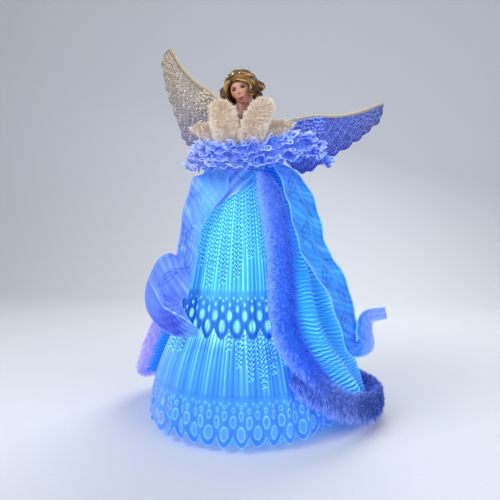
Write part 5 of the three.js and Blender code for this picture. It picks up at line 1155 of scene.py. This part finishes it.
def pairAt(d, x, z, wide, high):
    return bumpAt(d, x, z, wide, high) + bumpAt(d, -x, z, wide, high)


def headReach(d):  # from the middle of the head to the skin, in direction d
    egg = 1 / np.sqrt(sum((d[..., k] / half) ** 2 for k, half in enumerate(headPlan["halves"])))
    face = d @ spin("Z", headPlan["glance"])  # the features sit a little to its left of the middle
    relief = sum(high * (pairAt if place[0] else bumpAt)(face, *place) for high, *place in faceRelief)
    jaw = -2.2 * smooth(-d[..., 2], 0.25, 0.85) * smooth(np.abs(d[..., 0]), 0.25, 0.7)
    return egg + smooth(-face[..., 1], 0.2, 0.9) * relief + jaw


fall, turn = np.meshgrid(np.linspace(0.01, math.pi - 0.01, headPlan["rows"]),
                         np.linspace(-math.pi, math.pi, headPlan["around"]), indexing="ij")
d = towards(fall, turn - 0.5 * np.sin(turn))  # closer together over the face
skull = headPlace((d * headReach(d)[..., None]).reshape(-1, 3))
d = d @ spin("Z", headPlan["glance"])
front = d[..., 1] < 0.1
paint = np.broadcast_to(np.array(linear("#d4a690")), (*d.shape[:2], 4)).copy()


def dab(mask, colour):
    mask = np.clip(mask * front, 0, 1)[..., None]
    paint[:] = paint * (1 - mask) + np.array(linear(colour)) * mask


dab(0.35 * pairAt(d, 0.48, -0.3, 0.2, 0.16), "#cf7565")  # blush
# painted shadow under the nose, and a brown tint on the lids
dab(0.35 * bumpAt(d, 0, -0.3, 0.14, 0.06) + 0.5 * pairAt(d, headPlan["eyes"], 0.1, 0.17, 0.05), "#b07a62")
upperLip = bumpAt(d, 0, -0.57, 0.23, 0.045) + 0.25 * pairAt(d, 0.06, -0.54, 0.05, 0.03)
lowerLip = bumpAt(d, 0, -0.66, 0.17, 0.05)
dab(np.maximum(smooth(upperLip, 0.35, 0.5), smooth(lowerLip, 0.35, 0.5)), "#b0605c")
dab(0.8 * smooth(bumpAt(d, 0, -0.612, 0.19, 0.014), 0.3, 0.6), "#6a2a30")
for x in (-headPlan["eyes"], headPlan["eyes"]):
    off, high = d[..., 0] - x, d[..., 2] - 0.005
    dab(0.6 * bumpAt(d, x, 0.03, 0.21, 0.12), "#946050")  # shadow round the eye
    lid = smooth((off / 0.22) ** 2 + ((high + 0.25 * off**2) / 0.105) ** 2, 1.1, 0.85)
    # the eye's white, painted greyish brown as in shade
    dab(lid, "#a8948a")
    dab(smooth(np.hypot(off + 0.01, high), 0.15, 0.13) * lid, "#2a2725")  # iris, pupil and glint
    dab(smooth(np.hypot(off + 0.01, high), 0.08, 0.06) * lid, "#0a0808")
    dab(smooth(np.hypot(off - 0.012, high - 0.025), 0.016, 0.008) * lid, "#ffffff")
    lash = bell(high - 0.08 + 1.7 * off**2, 0.042) * smooth(np.abs(off), 0.26, 0.2)
    dab(0.95 * lash, "#1a0f0b")
    brow = bell(high - 0.19 + 1.3 * (off - 0.1 * x) ** 2, 0.03) * smooth(np.abs(off), 0.25, 0.15)
    dab(0.9 * brow, "#46291a")
neckZ, neckTurn = np.meshgrid(np.linspace(neckPlan["heights"][0], neckPlan["heights"][-1], neckPlan["rows"]),
                              np.linspace(0, 2 * math.pi, neckPlan["around"]), indexing="ij")
neckReach = np.interp(neckZ, neckPlan["heights"], neckPlan["reach"]) + 0.25 * np.cos(2 * neckTurn)
neck = np.stack([neckReach * np.cos(neckTurn), neckReach * np.sin(neckTurn), neckZ], -1).reshape(-1, 3)
# Flesh lacquer over cast resin
resin, tree, shader, place = newFinish("resin_hand_painted", Coat_Weight=0.15, Coat_Roughness=0.3)
painted = add(tree, "ShaderNodeAttribute", attribute_name="paint").outputs["Color"]
mottle = noise(tree, place, 3, 3.0)
warm = mix(tree, mottle, linear("#f0d2c4"), linear("#ffffff"))
feed(tree, shader, Base_Color=mix(tree, 1.0, painted, warm, blend_type="MULTIPLY"),
     Roughness=ranged(tree, mottle, 0.0, 1.0, 0.36, 0.52, "LINEAR"))
points, faces, _ = bundle([(skull, gridFaces(*fall.shape), 0.0), (neck, gridFaces(*neckZ.shape), 0.0)])
# the neck is painted darker than the face, as painted shade under the head
paint = np.vstack([paint.reshape(-1, 4), np.tile(linear("#a67a64"), (len(neck), 1))])
uv = np.vstack([gridUv(*fall.shape) * [1, 0.9] + [0, 0.1], gridUv(*neckZ.shape) * [1, 0.09]])
head = makePiece("dollHead", points, faces, resin, slot="painted_resin", paint=paint, uv=uv)
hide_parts("head")

# Wig: curled acrylic fibre, brown with golden locks; the golden crest colour is painted highlight, on the waves' crests
# and over the forehead
wigFibre = clothFinish("acrylic_wig_fibre", {
    "run": ("Z", 345, 398), "mottle": 0.6, "thread": 1.2, "threadShade": 0.1, "roughness": 0.42,
    "sheen": 0.1, "glow": 0.0, "fold": "#3a281e", "crest": "#d4a862",
    "stops": [(0.0, "#5c3e20"), (0.5, "#7e5c32"), (1.0, "#86653a")]})
wigPlan = {"part": -12, "layers": [(15, 0.0, 1.7), (9, 1.5, 1.5)], "wave": 1.25, "sides": 12, "seed": 61, "curls": 6,
           "wisps": 90, "points": 40, "back": -35}
pick = np.random.default_rng(wigPlan["seed"])


def capDirection(fall, turn):  # in degrees, round a crown that lies further back
    return towards(np.radians(fall), np.radians(turn)) @ spin("X", wigPlan["back"]).T


def onHead(fall, turn, rise):  # in degrees, and the height off the skin
    d = towards(np.radians(fall), np.radians(turn))
    return headPlace(d * (headReach(d) + rise)[..., None])


f, t = np.meshgrid(np.linspace(1, 99, 40), np.linspace(-180, 180, 121), indexing="ij")
d = capDirection(f, t)
grooves = 0.25 * np.sin(np.radians(t) * 46 + f / 7) + 0.4 * np.sin(np.radians(t) * 9 + f / 11)
cap = headPlace((d * (headReach(d) + 1.5 + grooves - 0.8 * smooth(f, 92, 99))[..., None]).reshape(-1, 3))
# tone: painted shade in the cap's grooves, lighter between them
shapes = [(cap, gridFaces(*f.shape), (0.3 + 0.3 * grooves).ravel())]
locks, sizes, tones = [], [], []
steps = np.linspace(0, 1, wigPlan["points"])
tailFall, tailFlip = np.array([[0, 0, -5.5], [0, 0, -10], [0, 0, -10.5]]), np.array([[0.6], [2.0], [4.0]])
for side in (1, -1):  # waved locks from the parting down past the ears
    for count, above, thick in wigPlan["layers"]:
        for q in (np.arange(count) + 0.5 * (above > 0)) / count:
            q = min(1.0, q + pick.uniform(-0.02, 0.02))
            fall = np.array([lerp(55, 8, q), lerp(62, 34, q), lerp(76, 62, q), lerp(95, 92, q)])
            turn = np.array([wigPlan["part"], side * lerp(24, 78, q), side * lerp(47, 128, q), side * lerp(56, 172, q)])
            crown = onHead(fall, turn, np.array([2.2, 3.4, 4.0, 4.4]) + above)
            outward = unit(crown[3] - headMiddle) * [1, 1, 0]
            tail = crown[3] + tailFall + outward * (pick.uniform(0.6, 1.3) * tailFlip)
            lock = throughPoints(np.vstack([crown, tail]), wigPlan["points"])
            turns = 2 * math.pi * pick.uniform(2.0, 2.6) * steps + pick.uniform(0, 6.28)
            across = unit(np.cross(np.gradient(lock, axis=0), lock - headMiddle))
            sway, lift = wigPlan["wave"] * (0.3 + 0.7 * steps) * np.sin(turns), 0.7 * np.cos(turns)
            locks.append(lock + across * sway[:, None] + unit(lock - headMiddle) * lift[:, None])
            taper = np.clip(np.sin(math.pi * (0.16 + 0.82 * steps)), 0.1, 1) ** 0.5
            sizes.append(thick * pick.uniform(0.8, 1.15) * taper)
            # painted highlight: lighter on each wave's raised crest, and on the front locks over the forehead
            frontHighlight = 0.4 * (1 - q) * bell(steps - 0.25, 0.2)
            tones.append(pick.uniform(0.2, 0.6) + 0.22 * np.cos(turns) + frontHighlight)
winds = np.linspace(0, 1, 11)
for side in (1, -1):  # ringlets beside the face, on the solids' lines
    low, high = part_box("hair_ringlet_left" if side > 0 else "hair_ringlet_right")
    centre = np.array([(low.x + high.x) / 2, (low.y + high.y) / 2, 0]) / mm
    for k in range(wigPlan["curls"]):  # each leaves the hair above the ear and winds down the ringlet
        fall, turn = np.array([48.0 + 4 * k, 66.0 + 3 * k]), side * np.array([54.0 + 7 * k, 70.0 + 7 * k])
        root = onHead(fall, turn, np.array([4.5, 6.5]))
        turns = side * 2 * math.pi * 1.4 * winds + (math.pi if side > 0 else 0) + 0.35 * (k - 2.5)
        reach = lerp(4.6, 2.8, winds) * (1 - 0.1 * (k % 3))
        rise = lerp(high.z / mm - 4.5 - k, low.z / mm + 1 - 0.6 * k, winds)
        wound = np.stack([centre[0] + reach * np.cos(turns), centre[1] + reach * np.sin(turns), rise], 1)
        locks.append(throughPoints(np.vstack([root, wound]), wigPlan["points"]))
        sizes.append(1.7 * np.clip(np.sin(math.pi * (0.12 + 0.84 * steps)), 0.15, 1) ** 0.5)
        tones.append(0.3 + 0.07 * k + 0.2 * np.sin(9 * steps + k))
points, faces = tubes(locks, np.array(sizes), wigPlan["sides"])
strands = pick.uniform(-0.32, 0.32, (len(locks), 1, wigPlan["sides"])) + 0.12 * np.sin(7 * steps)[None, :, None]
shapes.append((points, faces, toned(np.array(tones)[:, :, None] + strands).ravel()))
n = wigPlan["wisps"]  # short loose hairs, more of them on its right
fall, beside = pick.uniform(30, 100, n), pick.uniform(0, 1, n) < 0.6
d = capDirection(fall, np.where(beside, pick.uniform(-130, -50, n), pick.uniform(-50, 180, n)))
k = np.linspace(0, 1, 10)[None, :, None]
bend = pick.normal(0, 2.2, (n, 1, 3)) + np.array([0, 0, -3.0])
reach = headReach(d)[:, None, None] + 3 + k * pick.uniform(4, 8.5, (n, 1, 1))
away = d[:, None] * reach + bend * k**2
points, faces = tubes(headPlace(away.reshape(-1, 3)).reshape(away.shape), np.linspace(0.16, 0.05, 10), 4)
# painted highlight: the loose hairs are lit pale
shapes.append((points, faces, 1.05))
points, faces, tone = bundle(shapes)
wig = makePiece("wig", points, faces, wigFibre, slot="wig_hair", tone=tone)
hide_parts("hair_cap", "hair_ringlet_left", "hair_ringlet_right")
d = capDirection(79.0, np.array([2.0, 22.0, -18.0]))
at = headPlace(d * (headReach(d) + 6.6)[:, None])
points, faces = beads(at, np.array([[1.2], [0.8], [0.8]]) * np.ones(3))
makePiece("tiaraStones", points, faces, crystal, slot="gilt_brass")
print("head and wig made")
